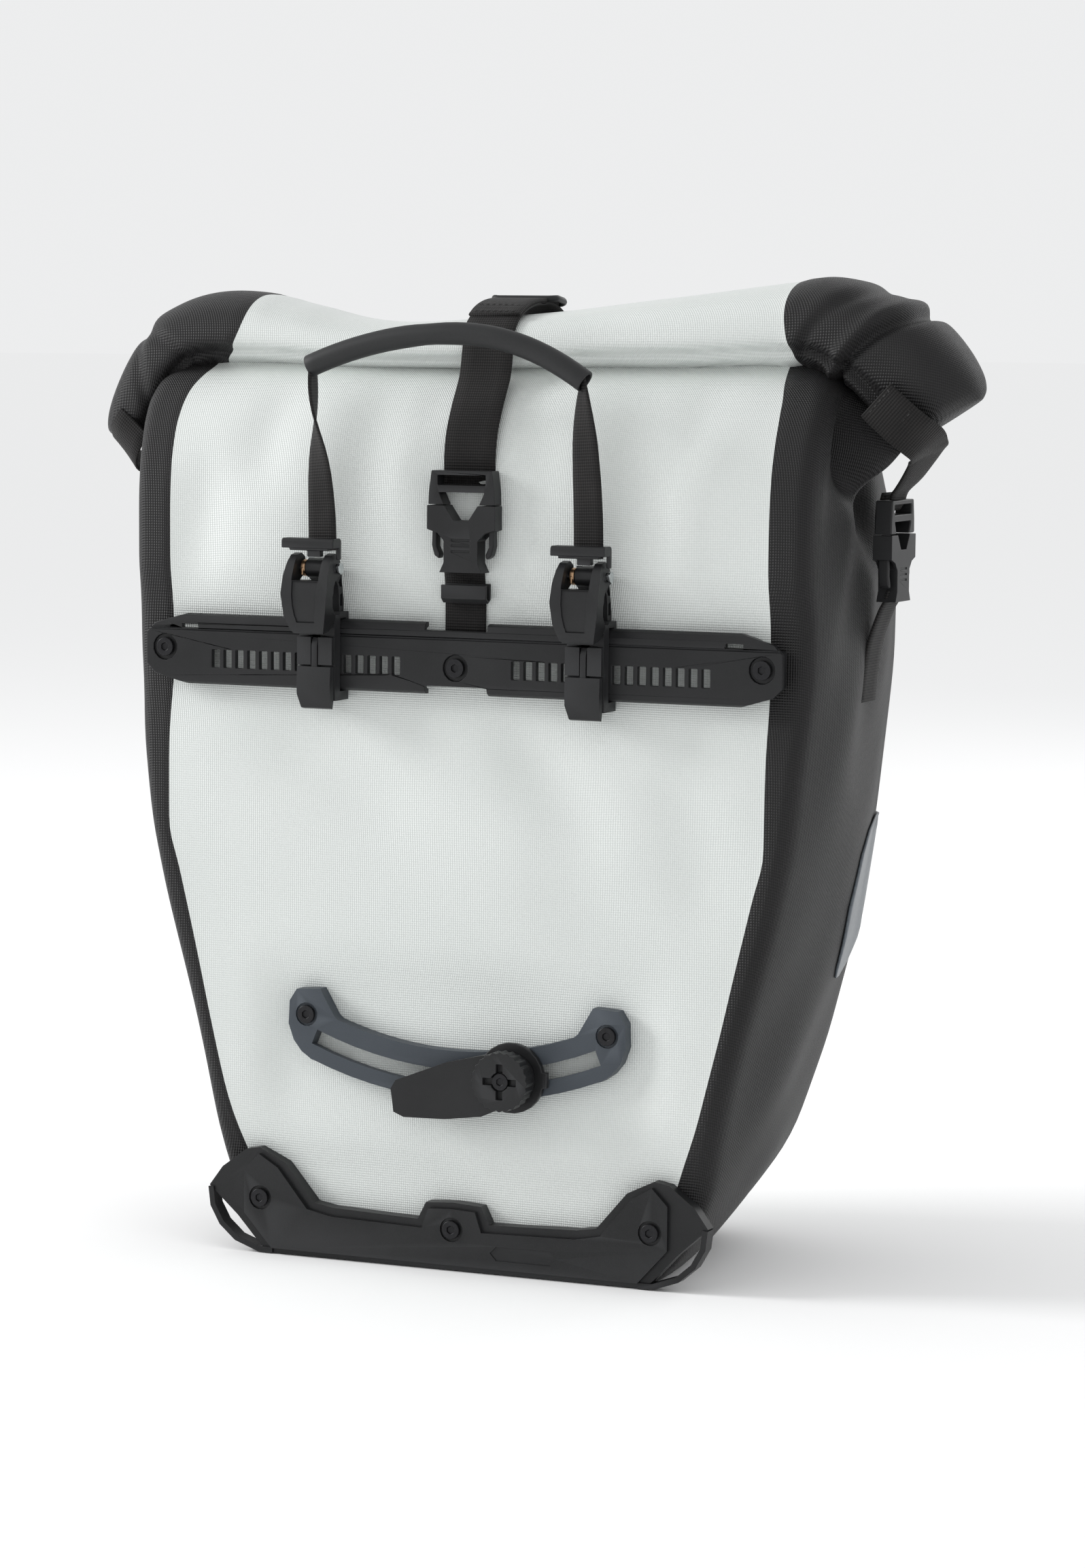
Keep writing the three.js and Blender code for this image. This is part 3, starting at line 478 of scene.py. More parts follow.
def gusset_x(y, z):
    """x of the right gusset at a distance y from the back panel, round to the outer panel."""
    y_back = side_surface(0.0, z)[1]
    x_end, y_end, _, outer_r = side_surface(1.0, z)
    if y <= y_end:
        return side_surface((y - y_back) / (y_end - y_back), z)[0]
    rise = min((y - y_end) / (table(FRONT_Y, z) - y_end), 1.0)
    return x_end - outer_r * (1.0 - math.sqrt(1.0 - rise * rise))


def half_ring(z, side):
    """Right or left half of the body at height z: points from the middle of the back round to the
    middle of the outer panel, each with its region."""
    result = []
    xb, xc = table(BORDER_X, z), table(CORNER_X, z)
    x_start, y_start, back_r, outer_r = side_surface(0.0, z)
    x_end, y_end, _, _ = side_surface(1.0, z)
    for i in range(BACK_COLUMNS // 2 + 1):
        x = xb * i / (BACK_COLUMNS // 2)
        result.append((x, back_surface(side * x, z), "white"))
    lift = -0.5 * float(smooth(2, 30, z))
    flat_end = xc - back_r
    for i in range(BORDER_COLUMNS + 1):
        x = xb + 0.8 + (flat_end - xb - 0.8) * i / BORDER_COLUMNS
        y = back_surface(side * x, z)
        result.append((x, y + lift * (1.0 - 0.5 * i / BORDER_COLUMNS), "black"))
    corner_y = result[-1][1]
    for i in range(1, CORNER_COLUMNS):
        a = math.pi / 2 * i / CORNER_COLUMNS
        x = flat_end + (x_start - flat_end) * math.sin(a)
        result.append((x, corner_y + (y_start - corner_y) * (1.0 - math.cos(a)), "black"))
    for i in range(SIDE_COLUMNS + 1):
        t = i / SIDE_COLUMNS
        x, y, _, _ = side_surface(t, z)
        result.append((x, y, "black", EAR_DROOP * ear_reach(t, z)))
    y1 = table(FRONT_Y, z)
    flat_start = x_end - outer_r
    for i in range(1, OUTER_CORNER_COLUMNS + 1):
        a = math.pi / 2 * i / OUTER_CORNER_COLUMNS
        result.append((flat_start + outer_r * math.cos(a), y_end + (y1 - y_end) * math.sin(a), "black"))
    sag = 2.0 * (1.0 + ripple(side * 40, 90, z, 90.0))
    panel_edge = flat_start - 2.0
    for i in range(FRONT_COLUMNS + 1):
        x = panel_edge * (1.0 - i / FRONT_COLUMNS)
        crown = 3.0 * math.cos(x / panel_edge * math.pi / 2) * float(smooth(20, 100, z))
        y = y1 + (crown - sag * 0.6) * (1.0 - float(smooth(330, 390, z)))
        result.append((x, y, "outer_white"))
    return result


def bag_ring(z):
    right, left = half_ring(z, 1.0), half_ring(z, -1.0)
    return right + [(-point[0], *point[1:]) for point in left[-2:0:-1]]


BASE_RINGS = [(0.0, 0.0), (0.35, 0.0), (0.7, 0.0), (0.93, 0.0), (0.98, 0.3)]   # size and height
CLOTH = 0.0012                              # thickness of the coated fabric


def build_bag_fabric():
    rings = [bag_ring(z) for z in HEIGHTS]
    columns = len(rings[0])
    points, faces, slots = [], [], []
    # The base closes in rings that shrink to its middle.
    base = rings[0]
    middle = (0.0, table(FRONT_Y, 0) / 2)
    for scale, z in BASE_RINGS:
        points += [row(x * scale, middle[1] + (y - middle[1]) * scale, z) for x, y, *_ in base]
    base_rows = len(BASE_RINGS)
    for z, ring in zip(HEIGHTS, rings):
        for x, y, _, *droop in ring:
            points.append(row(x, y, z - sum(droop)))
    rows = base_rows + len(HEIGHTS)
    faces = grid_faces(rows, columns, wrap=True)
    for r in range(rows - 1):
        for c in range(columns):
            region, beyond = base[c][2], base[(c + 1) % columns][2]
            white = region == beyond and region != "black" and r >= base_rows - 1
            slots.append(0 if white else 1)
    piece = make_object("bag_fabric", points, faces, [WHITE, BLACK, LINING], slots)
    mesh = bmesh.new()
    mesh.from_mesh(piece.data)
    bmesh.ops.remove_doubles(mesh, verts=mesh.verts, dist=0.00001)
    bmesh.ops.recalc_face_normals(mesh, faces=mesh.faces)
    lowest = min(mesh.faces, key=lambda face: face.calc_center_median().z)
    if lowest.normal.z > 0:
        bmesh.ops.reverse_faces(mesh, faces=mesh.faces)
    mesh.to_mesh(piece.data)
    mesh.free()
    shell = piece.modifiers.new("cloth thickness", "SOLIDIFY")
    shell.thickness = CLOTH
    shell.offset = -1.0
    shell.material_offset = 2
    apply_modifiers(subdivide(piece))
    for vertex in piece.data.vertices:
        vertex.co.z = max(vertex.co.z, 0.0)      # the base stands flat
    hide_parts("bag_shell")
    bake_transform(piece)
    return piece


# ---------- roll-top ----------
# Stations along the roll in millimetres: x, z, y of the middle, half depth, half thickness and the
# turn of the section in degrees. The ends are folded down onto the gussets and flattened.
ROLL = [
    (-191.8, 367.2, 48, 4.5, 10.5, -73), (-191.2, 370, 48, 12, 11.8, -71),
    (-188.5, 377, 49, 17.5, 13, -64), (-182.5, 387.5, 50, 22, 14.3, -56), (-175, 398.5, 51, 26, 15.2, -48),
    (-166, 408.5, 51.5, 29, 16.2, -36), (-155, 416, 52, 31, 17.3, -18), (-141, 419.6, 52, 32, 18, -5),
    (-126, 419.4, 52, 32.5, 17.2, 0), (-100, 417.2, 52, 32.8, 14.4, 0), (-77, 414.6, 52, 33, 12, 0),
    (-50, 413.4, 52, 33, 10.9, 0), (-22, 413.8, 52, 33, 11.2, 0), (3, 414.8, 52, 33, 12.4, 0),
    (28, 416.2, 52, 33, 13.8, 0), (54, 418, 52, 33, 15.3, 0), (92, 420.6, 52, 33, 17.2, 0),
    (120, 422.4, 52, 32.5, 18.8, 1), (142, 423.4, 52, 32, 20.0, 3), (155, 424, 51.5, 31.5, 20.6, 9),
    (167, 420.4, 51, 31, 20.6, 20), (178, 415.6, 50, 29.5, 20.8, 31), (188, 409, 49, 27.5, 22.4, 42),
    (196.5, 400.6, 48, 25, 22.6, 50), (203, 392.4, 47, 21.5, 22, 55), (206.4, 387, 46.5, 17, 20.6, 57),
    (208, 384.2, 46, 9, 18.8, 58), (208.4, 383.4, 46, 3.5, 17.6, 58)]
ROLL_AROUND = 72
ROLL_STEPS = 6
LEFT_BORDER, RIGHT_BORDER = -126, 142      # the stations where the white cloth meets the black
WELD_STEP = 0.7                            # the black cloth is welded over the white


def roll_section(angle, power):
    """Unit section of the rolled collar, a flattened round; a lower power makes its faces flatter."""
    u, v = math.cos(angle), math.sin(angle)
    u = math.copysign(abs(u) ** power, u)
    v = math.copysign(abs(v) ** power, v)
    # Two soft furrows show where one turn lies on the next.
    for centre, depth, width in ((math.radians(212), 0.085, 0.17), (math.radians(-28), 0.10, 0.15)):
        off = math.remainder(angle - centre, 2 * math.pi)
        shrink = 1.0 - depth * math.exp(-(off / width) ** 2)
        u, v = u * shrink, v * shrink
    return u, v


# Creases across the folded ends: x, slant, depth, width, and how far the cloth before it is lifted.
ROLL_CREASES = [(177, 7.0, 4.6, 2.0, 2.6), (-160, -8.0, 1.6, 2.2, 0.5), (155, 14.0, 1.4, 2.4, 0.6),
                (-176, 9.0, 1.4, 2.4, 0.4)]


# Pleats along the folded ends: place round the section in degrees, depth and width in radians.
ROLL_PLEATS = [(214, 2.8, 0.12), (-32, 2.8, 0.14), (236, 1.6, 0.1)]


def roll_point(station, angle):
    x, z, y, half_depth, half_thick, turn = station
    out = float(smooth(134, 176, abs(x)))
    u, v = roll_section(angle, 0.86 - 0.16 * out)
    # Gathers run along the folded ends, and shallow dents cross the roll.
    swell = 0.9 * ripple(x, 60 * u, 60 * v, 80.0)
    for centre, depth, width in ROLL_PLEATS:
        off = math.remainder(angle - math.radians(centre) - 0.006 * (abs(x) - 170), 2 * math.pi)
        swell -= out * depth * math.exp(-(off / width) ** 2)
        swell += out * 0.25 * depth * math.exp(-((off - 2.0 * width) / (1.5 * width)) ** 2)
    for place, slant, depth, width, lift in ROLL_CREASES:
        off = (x - place - slant * v) * (1 if place > 0 else -1)
        swell -= depth * math.exp(-(off / width) ** 2)
        swell += lift * math.exp(-((off + 2.2 * width) / (1.6 * width)) ** 2)
    if x < LEFT_BORDER or x > RIGHT_BORDER:
        swell += WELD_STEP
    swell *= min(1.0, half_depth / 20.0)
    # The white cloth ends on a line that bends round the roll.
    bend = (3.5 + 9.0 * v - 6.0 * v * v) * math.exp(-((x - LEFT_BORDER) / 13.0) ** 2)
    bend += (2.0 * v * v - 3.0 * v) * math.exp(-((x - RIGHT_BORDER) / 11.0) ** 2)
    spread = u * (half_depth + swell)
    thick = v * (half_thick + swell)
    a = math.radians(turn)
    return row(x + bend + thick * math.sin(a), y + spread, z + thick * math.cos(a))


def roll_stations():
    """The stations with smooth in-between ones."""
    path = []
    for i in range(len(ROLL) - 1):
        before, here = ROLL[max(i - 1, 0)], ROLL[i]
        after, beyond = ROLL[i + 1], ROLL[min(i + 2, len(ROLL) - 1)]
        for k in range(ROLL_STEPS):
            t = k / ROLL_STEPS
            path.append(tuple(
                0.5 * (2 * b + (c - a) * t + (2 * a - 5 * b + 4 * c - d) * t * t
                       + (3 * b - 3 * c + d - a) * t**3)
                for a, b, c, d in zip(before, here, after, beyond)))
    return path + [ROLL[-1]]


def build_roll():
    stations = roll_stations()
    points, slots = [], []
    angles = [2 * math.pi * i / ROLL_AROUND for i in range(ROLL_AROUND)]
    for station in stations:
        points += [roll_point(station, angle) for angle in angles]
    rows = len(stations)
    faces = [face[::-1] for face in grid_faces(rows, ROLL_AROUND, wrap=True)]
    for r in range(rows - 1):
        x = (stations[r][0] + stations[r + 1][0]) / 2
        slots += [0 if LEFT_BORDER < x < RIGHT_BORDER else 1] * ROLL_AROUND
    faces.append(tuple(range(ROLL_AROUND)))
    faces.append(tuple((rows - 1) * ROLL_AROUND + c for c in range(ROLL_AROUND))[::-1])
    slots += [1, 1]
    piece = apply_modifiers(subdivide(make_object("roll_fabric", points, faces, [WHITE, BLACK], slots)))
    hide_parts("rolled_collar")
    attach(piece, "roll")
    return piece


# ---------- straps and handle ----------
STRAP_X = 3.0
X_AXIS = Vector((1, 0, 0))
Y_AXIS = Vector((0, 1, 0))


STRAP_STATION = (414.9, 52, 33, 12.8, 0)     # the roll under the strap, as in ROLL
CREST_GAP = 3.6                             # the stiff webbing stands off the crest of the roll


def over_roll(first, last, count, gap, x=STRAP_X):
    """Points a gap away from the roll's surface, between two places round it, given in degrees."""
    station = (x, *STRAP_STATION)
    points = []
    for angle in np.radians(np.linspace(first, last, count)):
        outward = Vector((0, math.cos(angle) / station[3], math.sin(angle) / station[4])).normalized()
        stand_off = gap + CREST_GAP * math.exp(-((math.degrees(angle) - 84.0) / 45.0) ** 2)
        points.append(roll_point(station, angle) + outward * stand_off * MM)
    return points


WIDE_TAPE, NARROW_TAPE = 0.0248, 0.0196     # webbing widths


def build_centre_straps():
    back = [(-5.4, 352.6), (-3.4, 351.2), (-1.9, 353), (-1.9, 358), (-1.9, 366), (0.2, 376),
            (5.6, 387), (11.0, 395.5), (14.4, 402)]
    path = catmull([row(STRAP_X, y, z) for y, z in back] + over_roll(182, 88, 9, 1.5), 4)
    strap = ribbon("centre_strap_web", path, WIDE_TAPE, X_AXIS, body="roll")
    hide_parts("centre_strap")
    down = [(90.4, 402), (98.8, 389.4), (110.4, 376.9), (121, 365.2), (131.5, 348), (142.6, 330.5),
            (147.6, 318), (149.4, 309)]
    path = catmull(over_roll(94, -14, 10, 1.6) + [row(STRAP_X, y, z) for y, z in down], 4)
    outer = ribbon("outer_strap_web", path, WIDE_TAPE, X_AXIS)
    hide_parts("outer_strap")
    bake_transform(outer)
    corners = [row(STRAP_X + dx, y + 1.2, z + 0.6) for dx, y, z in
               ((-11, 144.6, 326), (11, 144.6, 326), (11, 149.2, 311), (-11, 149.2, 311))]
    box_stitch("outer_strap_stitches", corners, Vector((0, 0.96, 0.28)).normalized(), "bag", 0.001)
    low = [(-1.7, 287), (-1.7, 296), (-1.9, 306), (-3.2, 313), (-4.6, 317)]
    path = catmull([row(STRAP_X - 1.5, y, z) for y, z in low], 5)
    short = ribbon("short_strap_web", path, NARROW_TAPE, X_AXIS, body="bag")
    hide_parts("centre_short_strap")


GRIP_TILT = 0.0026      # the grip is a little higher at its left end
GRIP_STEPS, GRIP_AROUND = 28, 28
GRIP_BORE = 0.74        # radius of the sleeve's bore, as a part of its outer radius
DROP_TUCK = 0.0054      # each drop reaches this far into its bar, so it stays in it as it leans
# How far each drop has turned from lying flat, in degrees, from its bar up to the grip.
DROP_TURNS = {"left": (2, 4, 9, 18, 34, 54, 72, 82, 84, 84), "right": (0, 0, 2, 5, 10, 16, 24, 36, 50, 60)}


def build_handle():
    """Rubber sleeve over the webbing, with its cut ends, and the two twisted drops."""
    low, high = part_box("handle_grip")
    centre_y = (low.y + high.y) / 2
    radius = (high.y - low.y) / 2
    end_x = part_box("handle_strap_right")[1].x - 0.007
    end_z, peak_z = 0.4015, 0.4192
    path = []
    steps = GRIP_STEPS
    for i in range(steps + 1):
        t = 2 * i / steps - 1
        # A hand grip creased once to the left of its middle, straighter towards both ends.
        height = (1 - abs(t) ** 2.1) * (1 + 0.03 * math.sin(3 * t))
        base = end_z - GRIP_TILT * t
        path.append(Vector((t * end_x * 1.02, centre_y, base + (peak_z - base) * height)))
    around = GRIP_AROUND
    points, faces = [], []
    for scale in (1.0, GRIP_BORE):
        for i, centre in enumerate(path):
            ahead = (path[min(i + 1, steps)] - path[max(i - 1, 0)]).normalized()
            up = ahead.cross(Y_AXIS).normalized() * -1
            for k in range(around):
                a = 2 * math.pi * k / around
                squeeze = 1.0 - 0.06 * math.exp(-(((i / steps) - 0.44) / 0.05) ** 2)
                points.append(centre + Y_AXIS * radius * scale * math.cos(a)
                              + up * radius * scale * squeeze * math.sin(a))
    rows = steps + 1
    half = rows * around
    outside = grid_faces(rows, around, wrap=True)
    faces = outside + [tuple(v + half for v in face)[::-1] for face in outside]
    for first in (0, (rows - 1) * around):
        for k in range(around):
            d = (k + 1) % around
            face = (first + k, first + d, first + d + half, first + k + half)
            faces.append(face if first else face[::-1])
    grip = make_object("handle_sleeve", points, faces, [RUBBER])
    mesh = bmesh.new()
    mesh.from_mesh(grip.data)
    bmesh.ops.recalc_face_normals(mesh, faces=mesh.faces)
    mesh.to_mesh(grip.data)
    mesh.free()
    bevel = grip.modifiers.new("rounded ends", "BEVEL")
    bevel.width = 0.0006
    bevel.segments = 2
    bevel.limit_method = "ANGLE"
    apply_modifiers(grip)
    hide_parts("handle_grip")
    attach(grip, "handle")
    for side, name in ((-1, "left"), (1, "right")):
        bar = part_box(f"pull_bar_{name}")[1].z
        x = side * end_x
        heights = [bar - DROP_TUCK, bar + 0.008, bar + 0.017, bar + 0.027, bar + 0.037, bar + 0.046,
                   bar + 0.055, bar + 0.063, bar + 0.0705, bar + 0.0755]
        heights = [z - side * GRIP_TILT * i / 9 for i, z in enumerate(heights)]
        # Both drops hang flat for most of their length; the left one turns edge-on sooner.
        turns = DROP_TURNS[name]
        bar_x = (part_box(f"pull_bar_{name}")[0].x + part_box(f"pull_bar_{name}")[1].x) / 2
        foot = bar_x + (0.0055 if side < 0 else 0.0035)
        lean = [1.0, 0.93, 0.84, 0.70, 0.52, 0.35, 0.18, 0.07, 0.02, 0.0]
        points = [Vector((x + (foot - x) * part, centre_y + 0.0004, z))
                  for part, z in zip(lean, heights)]
        across = [Vector((math.cos(math.radians(t)), -math.sin(math.radians(t)), 0)) for t in turns]
        path = catmull(points, 4)
        sides = catmull(across, 4)
        widths = list(np.interp(np.linspace(0, 1, len(path)), [0, 0.55, 0.85, 1],
                                [0.0138, 0.0136, 0.0104, 0.0068]))
        strap = ribbon(f"handle_web_{name}", path, widths, sides, 0.0012, f"strap_{name}")
        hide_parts(f"handle_strap_{name}")


def blend_across(turns, count):
    """Directions across a twisting strap, from rows of (place along it, x, y, z)."""
    places = [turn[0] for turn in turns]
    result = []
    for i in range(count):
        t = i / (count - 1)
        result.append(Vector([np.interp(t, places, [turn[k] for turn in turns]) for k in (1, 2, 3)]))
    return result


def stitches(name, path, normal, body, pitch=0.0030, length=0.0021):
    """A row of thread stitches standing a little proud along a path."""
    points, faces = [], []
    travelled, following = 0.0, 0.0
    for a, b in zip(path[:-1], path[1:]):
        step = (b - a).length
        while following < travelled + step:
            centre = a.lerp(b, (following - travelled) / step) + normal * 0.0002
            ahead = (b - a).normalized()
            side = normal.cross(ahead).normalized()
            first = len(points)
            for u, v, w in ((-1, 0, -1), (-0.6, 1, 0), (0.6, 1, 0), (1, 0, -1), (0.6, -1, 0),
                            (-0.6, -1, 0), (-0.5, 0, 1), (0.5, 0, 1)):
                points.append(centre + ahead * u * length / 2 + side * v * 0.00032
                              + normal * w * 0.00026)
            for face in ((0, 1, 6), (1, 2, 7, 6), (2, 3, 7), (3, 4, 7), (4, 5, 6, 7), (5, 0, 6),
                         (0, 5, 4, 3, 2, 1)):
                faces.append(tuple(first + k for k in face)[::-1])
            following += pitch
        travelled += step
    piece = make_object(name, points, faces, [THREAD])
    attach(piece, body)
    return piece


def box_stitch(name, corners, normal, body, inset=0.0025):
    """Stitching round a rectangle of webbing and across it from corner to corner."""
    middle = sum(corners, Vector()) / 4
    a, b, c, d = [p + (middle - p).normalized() * inset for p in corners]
    return stitches(name, [a, b, c, d, a, c], normal, body)


# Webbing from its stitched patch on each folded end to below the end, in millimetres, with x counted
# outwards. The right patch is on the front of the end and the left one is under it.
END_DROPS = {
    "right": [(184.6, 19.4, 392.6), (188.5, 19.2, 389), (192.6, 19.6, 385.4), (197, 21.0, 381.4),
              (201.4, 25, 377.2), (203.4, 33, 373.6), (200.5, 45, 370.4), (195, 58, 367.4)],
    "left": [(181, 29.0, 377), (184, 29.4, 373.4), (186.6, 31, 369.6), (189, 34, 366),
             (190, 38, 362.6), (189.4, 44, 359.8), (188, 52, 358), (186, 60, 356.6)],
}
PATCH_LEAN = (0.66, 0.75)       # x and z of the direction across the patch
PATCH_HALF = 0.0086             # half the width of its stitching
STITCH_LIFT = 0.0007            # the thread lies this far off the middle of the tape


def build_side_straps():
    lean_x, lean_z = PATCH_LEAN
    for side, name in ((-1, "left"), (1, "right")):
        male_low, male_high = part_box(f"{name}_buckle_male")
        centre = (male_low + male_high) / 2
        x0 = abs(centre.x) * 1000
        top = male_high.z * 1000
        y = (centre.y - PANEL_Y) * 1000
        tail = [(x0 + 8, y - 2, top + 9), (x0 + 2.4, y, top + 3.4), (x0 + 0.8, y, top - 1),
                (x0 - 1.6, y, top - 4.4), (x0 - 3.4, y, top - 1.5), (x0 - 2.4, y, top + 3)]
        corner = [row(side * px, py, pz) for px, py, pz in END_DROPS[name] + tail]
        path = catmull(corner, 6)
        turns = [(0.0, lean_x * side, 0.0, lean_z), (0.30, lean_x * side, 0.05, lean_z),
                 (0.42, 0.5 * side, 0.5, 0.45), (0.56, 0.25 * side, 0.95, 0.1), (0.66, 0, 1, 0),
                 (1.0, 0, 1, 0)]
        web = ribbon(f"end_web_{name}", path, NARROW_TAPE, blend_across(turns, len(path)), body="roll")
        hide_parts(f"end_webbing_{name}")
        along = (corner[3] - corner[0]).normalized()
        across = Vector((lean_x * side, 0, lean_z)).normalized() * PATCH_HALF
        normal = along.cross(across).normalized()
        normal *= -1 if normal.y > 0 else 1
        lift = normal * STITCH_LIFT
        corners = [corner[0] + across + lift, corner[3] + across + lift, corner[3] - across + lift,
                   corner[0] - across + lift]
        box_stitch(f"end_stitches_{name}", corners, normal, "roll")
        female_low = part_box(f"{name}_buckle_female")[0].z * 1000
        low = [(x0 + 0.6, female_low + 5), (x0 - 0.8, female_low + 0.5), (x0 - 3.6, female_low - 5),
               (168.6, 284), (166.2, 268), (165.4, 258)]
        path = catmull([row(side * x, y, z) for x, z in low], 6)
        strap = ribbon(f"side_web_{name}", path, NARROW_TAPE, Y_AXIS, body="bag")
        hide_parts(f"side_strap_{name}")


# The patch on each gusset: heights with its inner and outer edges, y from the back panel.
PATCH_EDGES = [(129, 95, 103), (133, 91, 118), (147, 88, 133), (163, 85, 139), (187, 92, 141),
               (198, 108, 142), (201, 128, 143)]
PATCH_ROWS, PATCH_COLUMNS = 16, 10


def build_reflectors():
    """Grey reflective patches welded on the gussets near the outer panel."""
    heights = [e[0] for e in PATCH_EDGES]
    for side, name in ((-1, "left"), (1, "right")):
        points = []
        for r in range(PATCH_ROWS):
            z = heights[0] + (heights[-1] - heights[0]) * r / (PATCH_ROWS - 1)
            inner = float(np.interp(z, heights, [e[1] for e in PATCH_EDGES]))
            outer = float(np.interp(z, heights, [e[2] for e in PATCH_EDGES]))
            for c in range(PATCH_COLUMNS):
                y = inner + (outer - inner) * c / (PATCH_COLUMNS - 1)
                points.append(row(side * (gusset_x(y, z) + 0.5), y + 0.2, z))
        faces = grid_faces(PATCH_ROWS, PATCH_COLUMNS)
        if side < 0:
            faces = [face[::-1] for face in faces]
        patch = make_object(f"reflector_{name}", points, faces, [REFLECTOR])
        sheet = patch.modifiers.new("film thickness", "SOLIDIFY")
        sheet.thickness = 0.0009
        sheet.offset = 0.2
        apply_modifiers(patch)
        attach(patch, "bag")


RING_Y = 63                                    # middle of the ring, from the back panel
RING_HALF_X, RING_HALF_Y = 15.2, 7.0
RING_CORNER, RING_WIRE = 3.4, 1.5              # radii of its corners and of its wire
RING_AROUND = 10


def build_crest():
    """The folded, stitched end of the webbing on the crest of the roll, and the ring it holds."""
    ribbon("crest_fold", catmull(over_roll(140, 66, 7, 3.0), 5), 0.0250, X_AXIS, 0.0018, body="roll")
    for name, angle in (("low", 136), ("high", 122)):
        ends = [over_roll(angle, angle, 1, 4.0, STRAP_X + side * 9.5)[0] for side in (-1, 1)]
        normal = Vector((0, math.cos(math.radians(angle)) * 0.6, 1)).normalized()
        stitches(f"crest_stitches_{name}", ends, normal, "roll")
    # A rounded rectangular wire ring that lies across the strap.
    ring_z = (over_roll(72, 72, 1, 3.0)[0].z) / MM + 1.2
    outline = []
    for cx, cy, start in ((1, 1, 0), (-1, 1, 90), (-1, -1, 180), (1, -1, 270)):
        for k in range(5):
            a = math.radians(start + 22.5 * k)
            outline.append((cx * (RING_HALF_X - RING_CORNER) + RING_CORNER * math.cos(a),
                            cy * (RING_HALF_Y - RING_CORNER) + RING_CORNER * math.sin(a)))
    points = []
    for i, (x, y) in enumerate(outline):
        ahead = Vector(outline[(i + 1) % len(outline)]) - Vector(outline[i - 1])
        out = Vector((ahead.y, -ahead.x)).normalized() * RING_WIRE
        for k in range(RING_AROUND):
            a = 2 * math.pi * k / RING_AROUND
            px, py = x + out.x * math.cos(a), y + out.y * math.cos(a)
            # The ring's far side droops over the crest.
            pz = ring_z - 0.02 * py * py - 0.14 * py + RING_WIRE * math.sin(a)
            points.append(row(STRAP_X + px, RING_Y + py, pz))
    faces = grid_faces(len(outline) + 1, RING_AROUND, wrap=True)
    faces = [tuple(v % len(points) for v in face) for face in faces]
    ring = make_object("crest_ring", points, faces, [PLASTIC])
    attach(ring, "roll")


# ---------- hard parts ----------
BEVELS = {
    "mounting_rail": 0.0004, "edge_guard": 0.0011, "lower_rail": 0.0012, "sway_hook": 0.0012,
    "sway_knob": 0.0005, "sway_slider": 0.0006, "hook_latch": 0.0011, "hook_body": 0.0005,
    "lock_lever": 0.0007, "pull_bar": 0.0006, "female": 0.00025, "male": 0.0007, "arm": 0.0008,
    "screw": 0.0004, "hook_pin": 0.0004, "strap_keeper": 0.0004,
}


# Nodes whose flat faces have windows keep their triangles, since one face can't go round a window.
WINDOWED = ("mounting_rail", "centre_buckle_female", "left_buckle_female", "right_buckle_female")


def finish_cad_nodes():
    """Real mouldings have rounded edges, so each CAD node gets a bevel and its material."""
    slots = {part["node"]: part["material_slot"] for part in frame["record"]["subparts"]}
    for name, node in frame["nodes"].items():
        node.data.materials.clear()
        node.data.materials.append(SLOT_MATERIALS[slots[name]])
        if node.hide_render:
            continue
        width = next((w for key, w in BEVELS.items() if key in name), 0.0003)
        weld = node.modifiers.new("weld", "WELD")
        weld.merge_threshold = 0.00002
        if name not in WINDOWED:
            flat = node.modifiers.new("flat faces", "DECIMATE")
            flat.decimate_type = "DISSOLVE"
            flat.angle_limit = math.radians(1.0)
        bevel = node.modifiers.new("rounded edges", "BEVEL")
        bevel.width = width
        bevel.segments = 3
        bevel.limit_method = "ANGLE"
        bevel.angle_limit = math.radians(32)
        bevel.miter_outer = "MITER_ARC"
        bevel.use_clamp_overlap = name not in WINDOWED
        shade = node.modifiers.new("shading", "WEIGHTED_NORMAL")
        shade.keep_sharp = True
        node.data.polygons.foreach_set("use_smooth", [True] * len(node.data.polygons))


# ---------- light, floor and camera ----------
# Area lights: name, place, size in metres, power in watts and the point they face.
LIGHTS = [
    ("key", (-2.2, -0.7, 1.3), (0.8, 0.8), 36.0, (0, 0, 0.25)),
    ("fill", (2.4, -1.3, 1.0), (1.4, 1.4), 2.5, (0, 0, 0.2)),
    ("back", (0.6, 2.2, 1.4), (1.6, 1.6), 7.0, (0, 0, 0.25)),
]


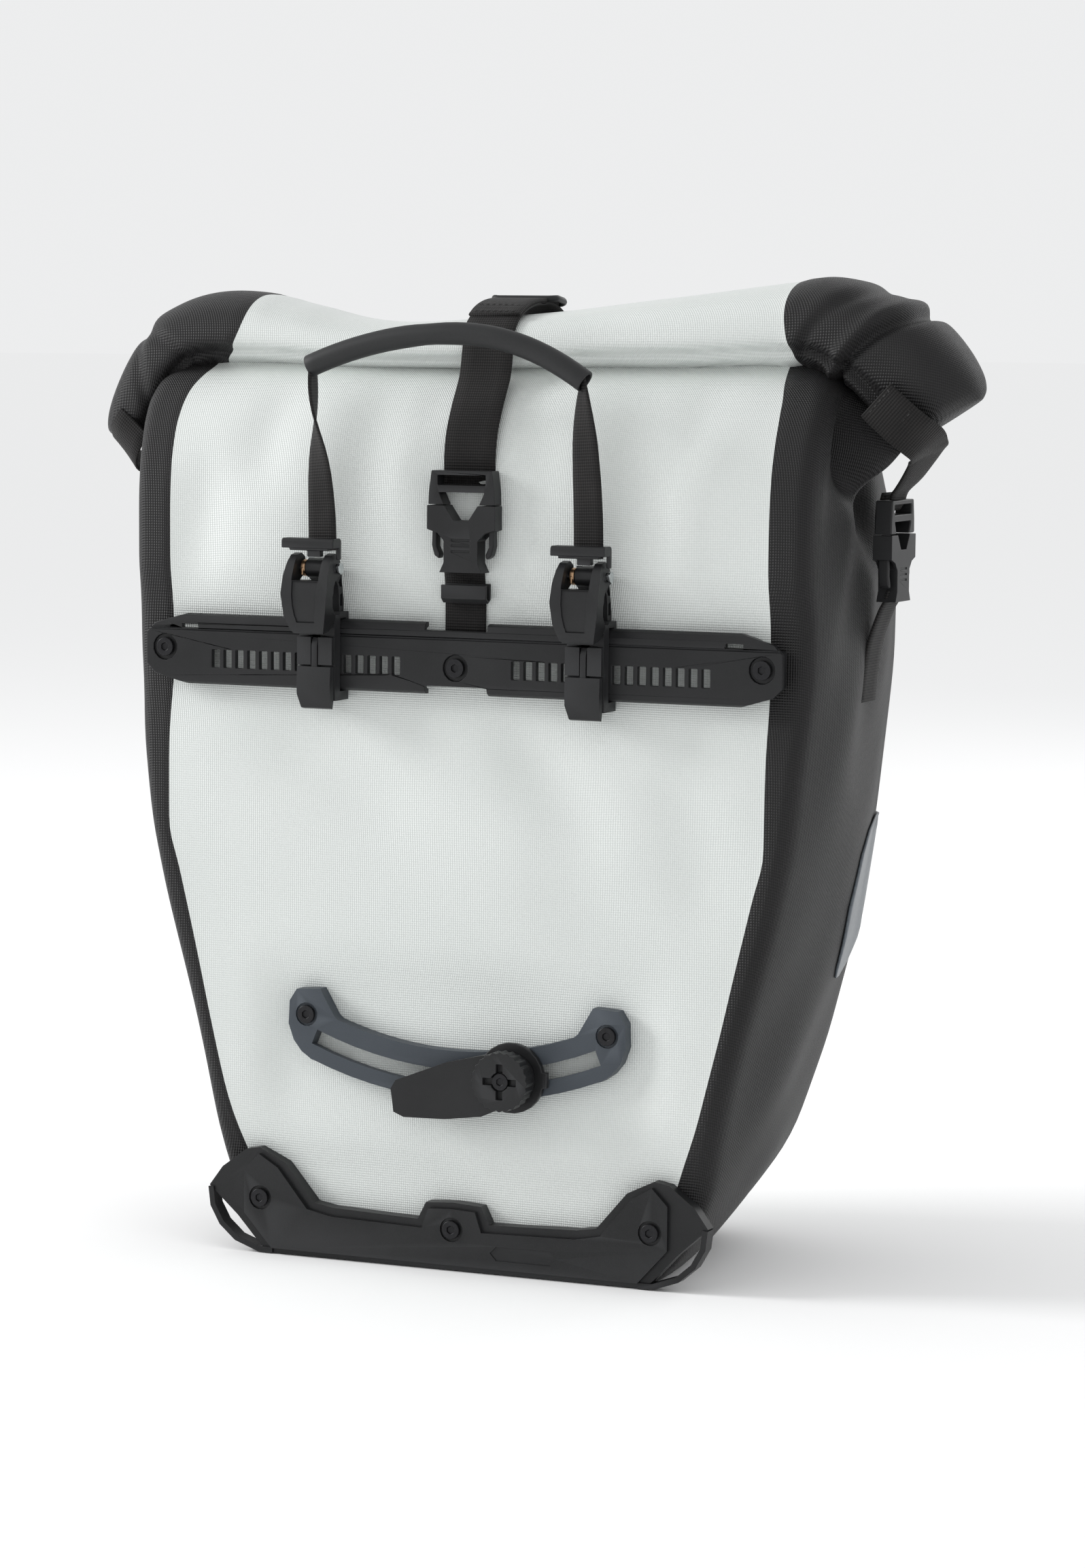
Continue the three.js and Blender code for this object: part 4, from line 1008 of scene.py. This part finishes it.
def build_stage():
    world = bpy.context.scene.world or bpy.data.worlds.new("world")
    bpy.context.scene.world = world
    world.use_nodes = True
    background = world.node_tree.nodes["Background"]
    background.inputs["Color"].default_value = (0.96, 0.965, 0.97, 1.0)
    background.inputs["Strength"].default_value = 0.88
    bpy.context.scene.view_settings.view_transform = "Standard"
    # A wide floor that turns up a little at its rim and meets a background as pale as itself.
    profile = [(0.0, 0.0), (3.0, 0.0), (6.0, 0.0), (9.0, 0.0), (12.0, 0.02), (15.0, 0.1), (18.0, 0.3)]
    turns = 48
    points = [Vector((r * math.cos(2 * math.pi * k / turns), r * math.sin(2 * math.pi * k / turns),
                      z - 0.0004)) for r, z in profile for k in range(turns)]
    backdrop, _, shader = new_material("backdrop")
    shader.inputs["Base Color"].default_value = (0.98, 0.98, 0.98, 1.0)
    shader.inputs["Roughness"].default_value = 1.0
    shader.inputs["Specular IOR Level"].default_value = 0.0
    floor = make_object("floor", points, grid_faces(len(profile), turns, wrap=True), [backdrop])
    for name, place, size, power, target in LIGHTS:
        lamp = bpy.data.lights.new(name, "AREA")
        lamp.shape = "RECTANGLE"
        lamp.size, lamp.size_y = size
        lamp.energy = power
        light = bpy.data.objects.new(name, lamp)
        light.location = place
        light.rotation_euler = (Vector(target) - Vector(place)).to_track_quat("-Z", "Y").to_euler()
        bpy.context.scene.collection.objects.link(light)


AZIMUTH, ELEVATION, ROLL_ANGLE = map(math.radians, (23.04, 5.70, 0.56))
CAMERA_DISTANCE = 2.0145
CAMERA_TARGET = Vector((0.0386, PANEL_Y, 0.221))
LENS = 104.4
SENSOR = 36.0


def build_camera():
    back = Vector((math.sin(AZIMUTH) * math.cos(ELEVATION), -math.cos(AZIMUTH) * math.cos(ELEVATION),
                   math.sin(ELEVATION)))
    right = (-back).cross(Vector((0, 0, 1))).normalized()
    up = right.cross(-back)
    turned_right = math.cos(ROLL_ANGLE) * right + math.sin(ROLL_ANGLE) * up
    turned_up = math.cos(ROLL_ANGLE) * up - math.sin(ROLL_ANGLE) * right
    lens = bpy.data.cameras.new("camera")
    lens.lens = LENS
    lens.sensor_width = SENSOR
    lens.clip_end = 30.0
    camera = bpy.data.objects.new("camera", lens)
    turn = Matrix((turned_right, turned_up, back)).transposed()
    camera.matrix_world = Matrix.Translation(CAMERA_TARGET + back * CAMERA_DISTANCE) @ turn.to_4x4()
    bpy.context.scene.collection.objects.link(camera)
    bpy.context.scene.camera = camera


build_camera()
build_stage()
build_bag_fabric()
build_roll()
build_centre_straps()
build_handle()
build_side_straps()
build_reflectors()
build_crest()
finish_cad_nodes()

bpy.context.view_layer.update()
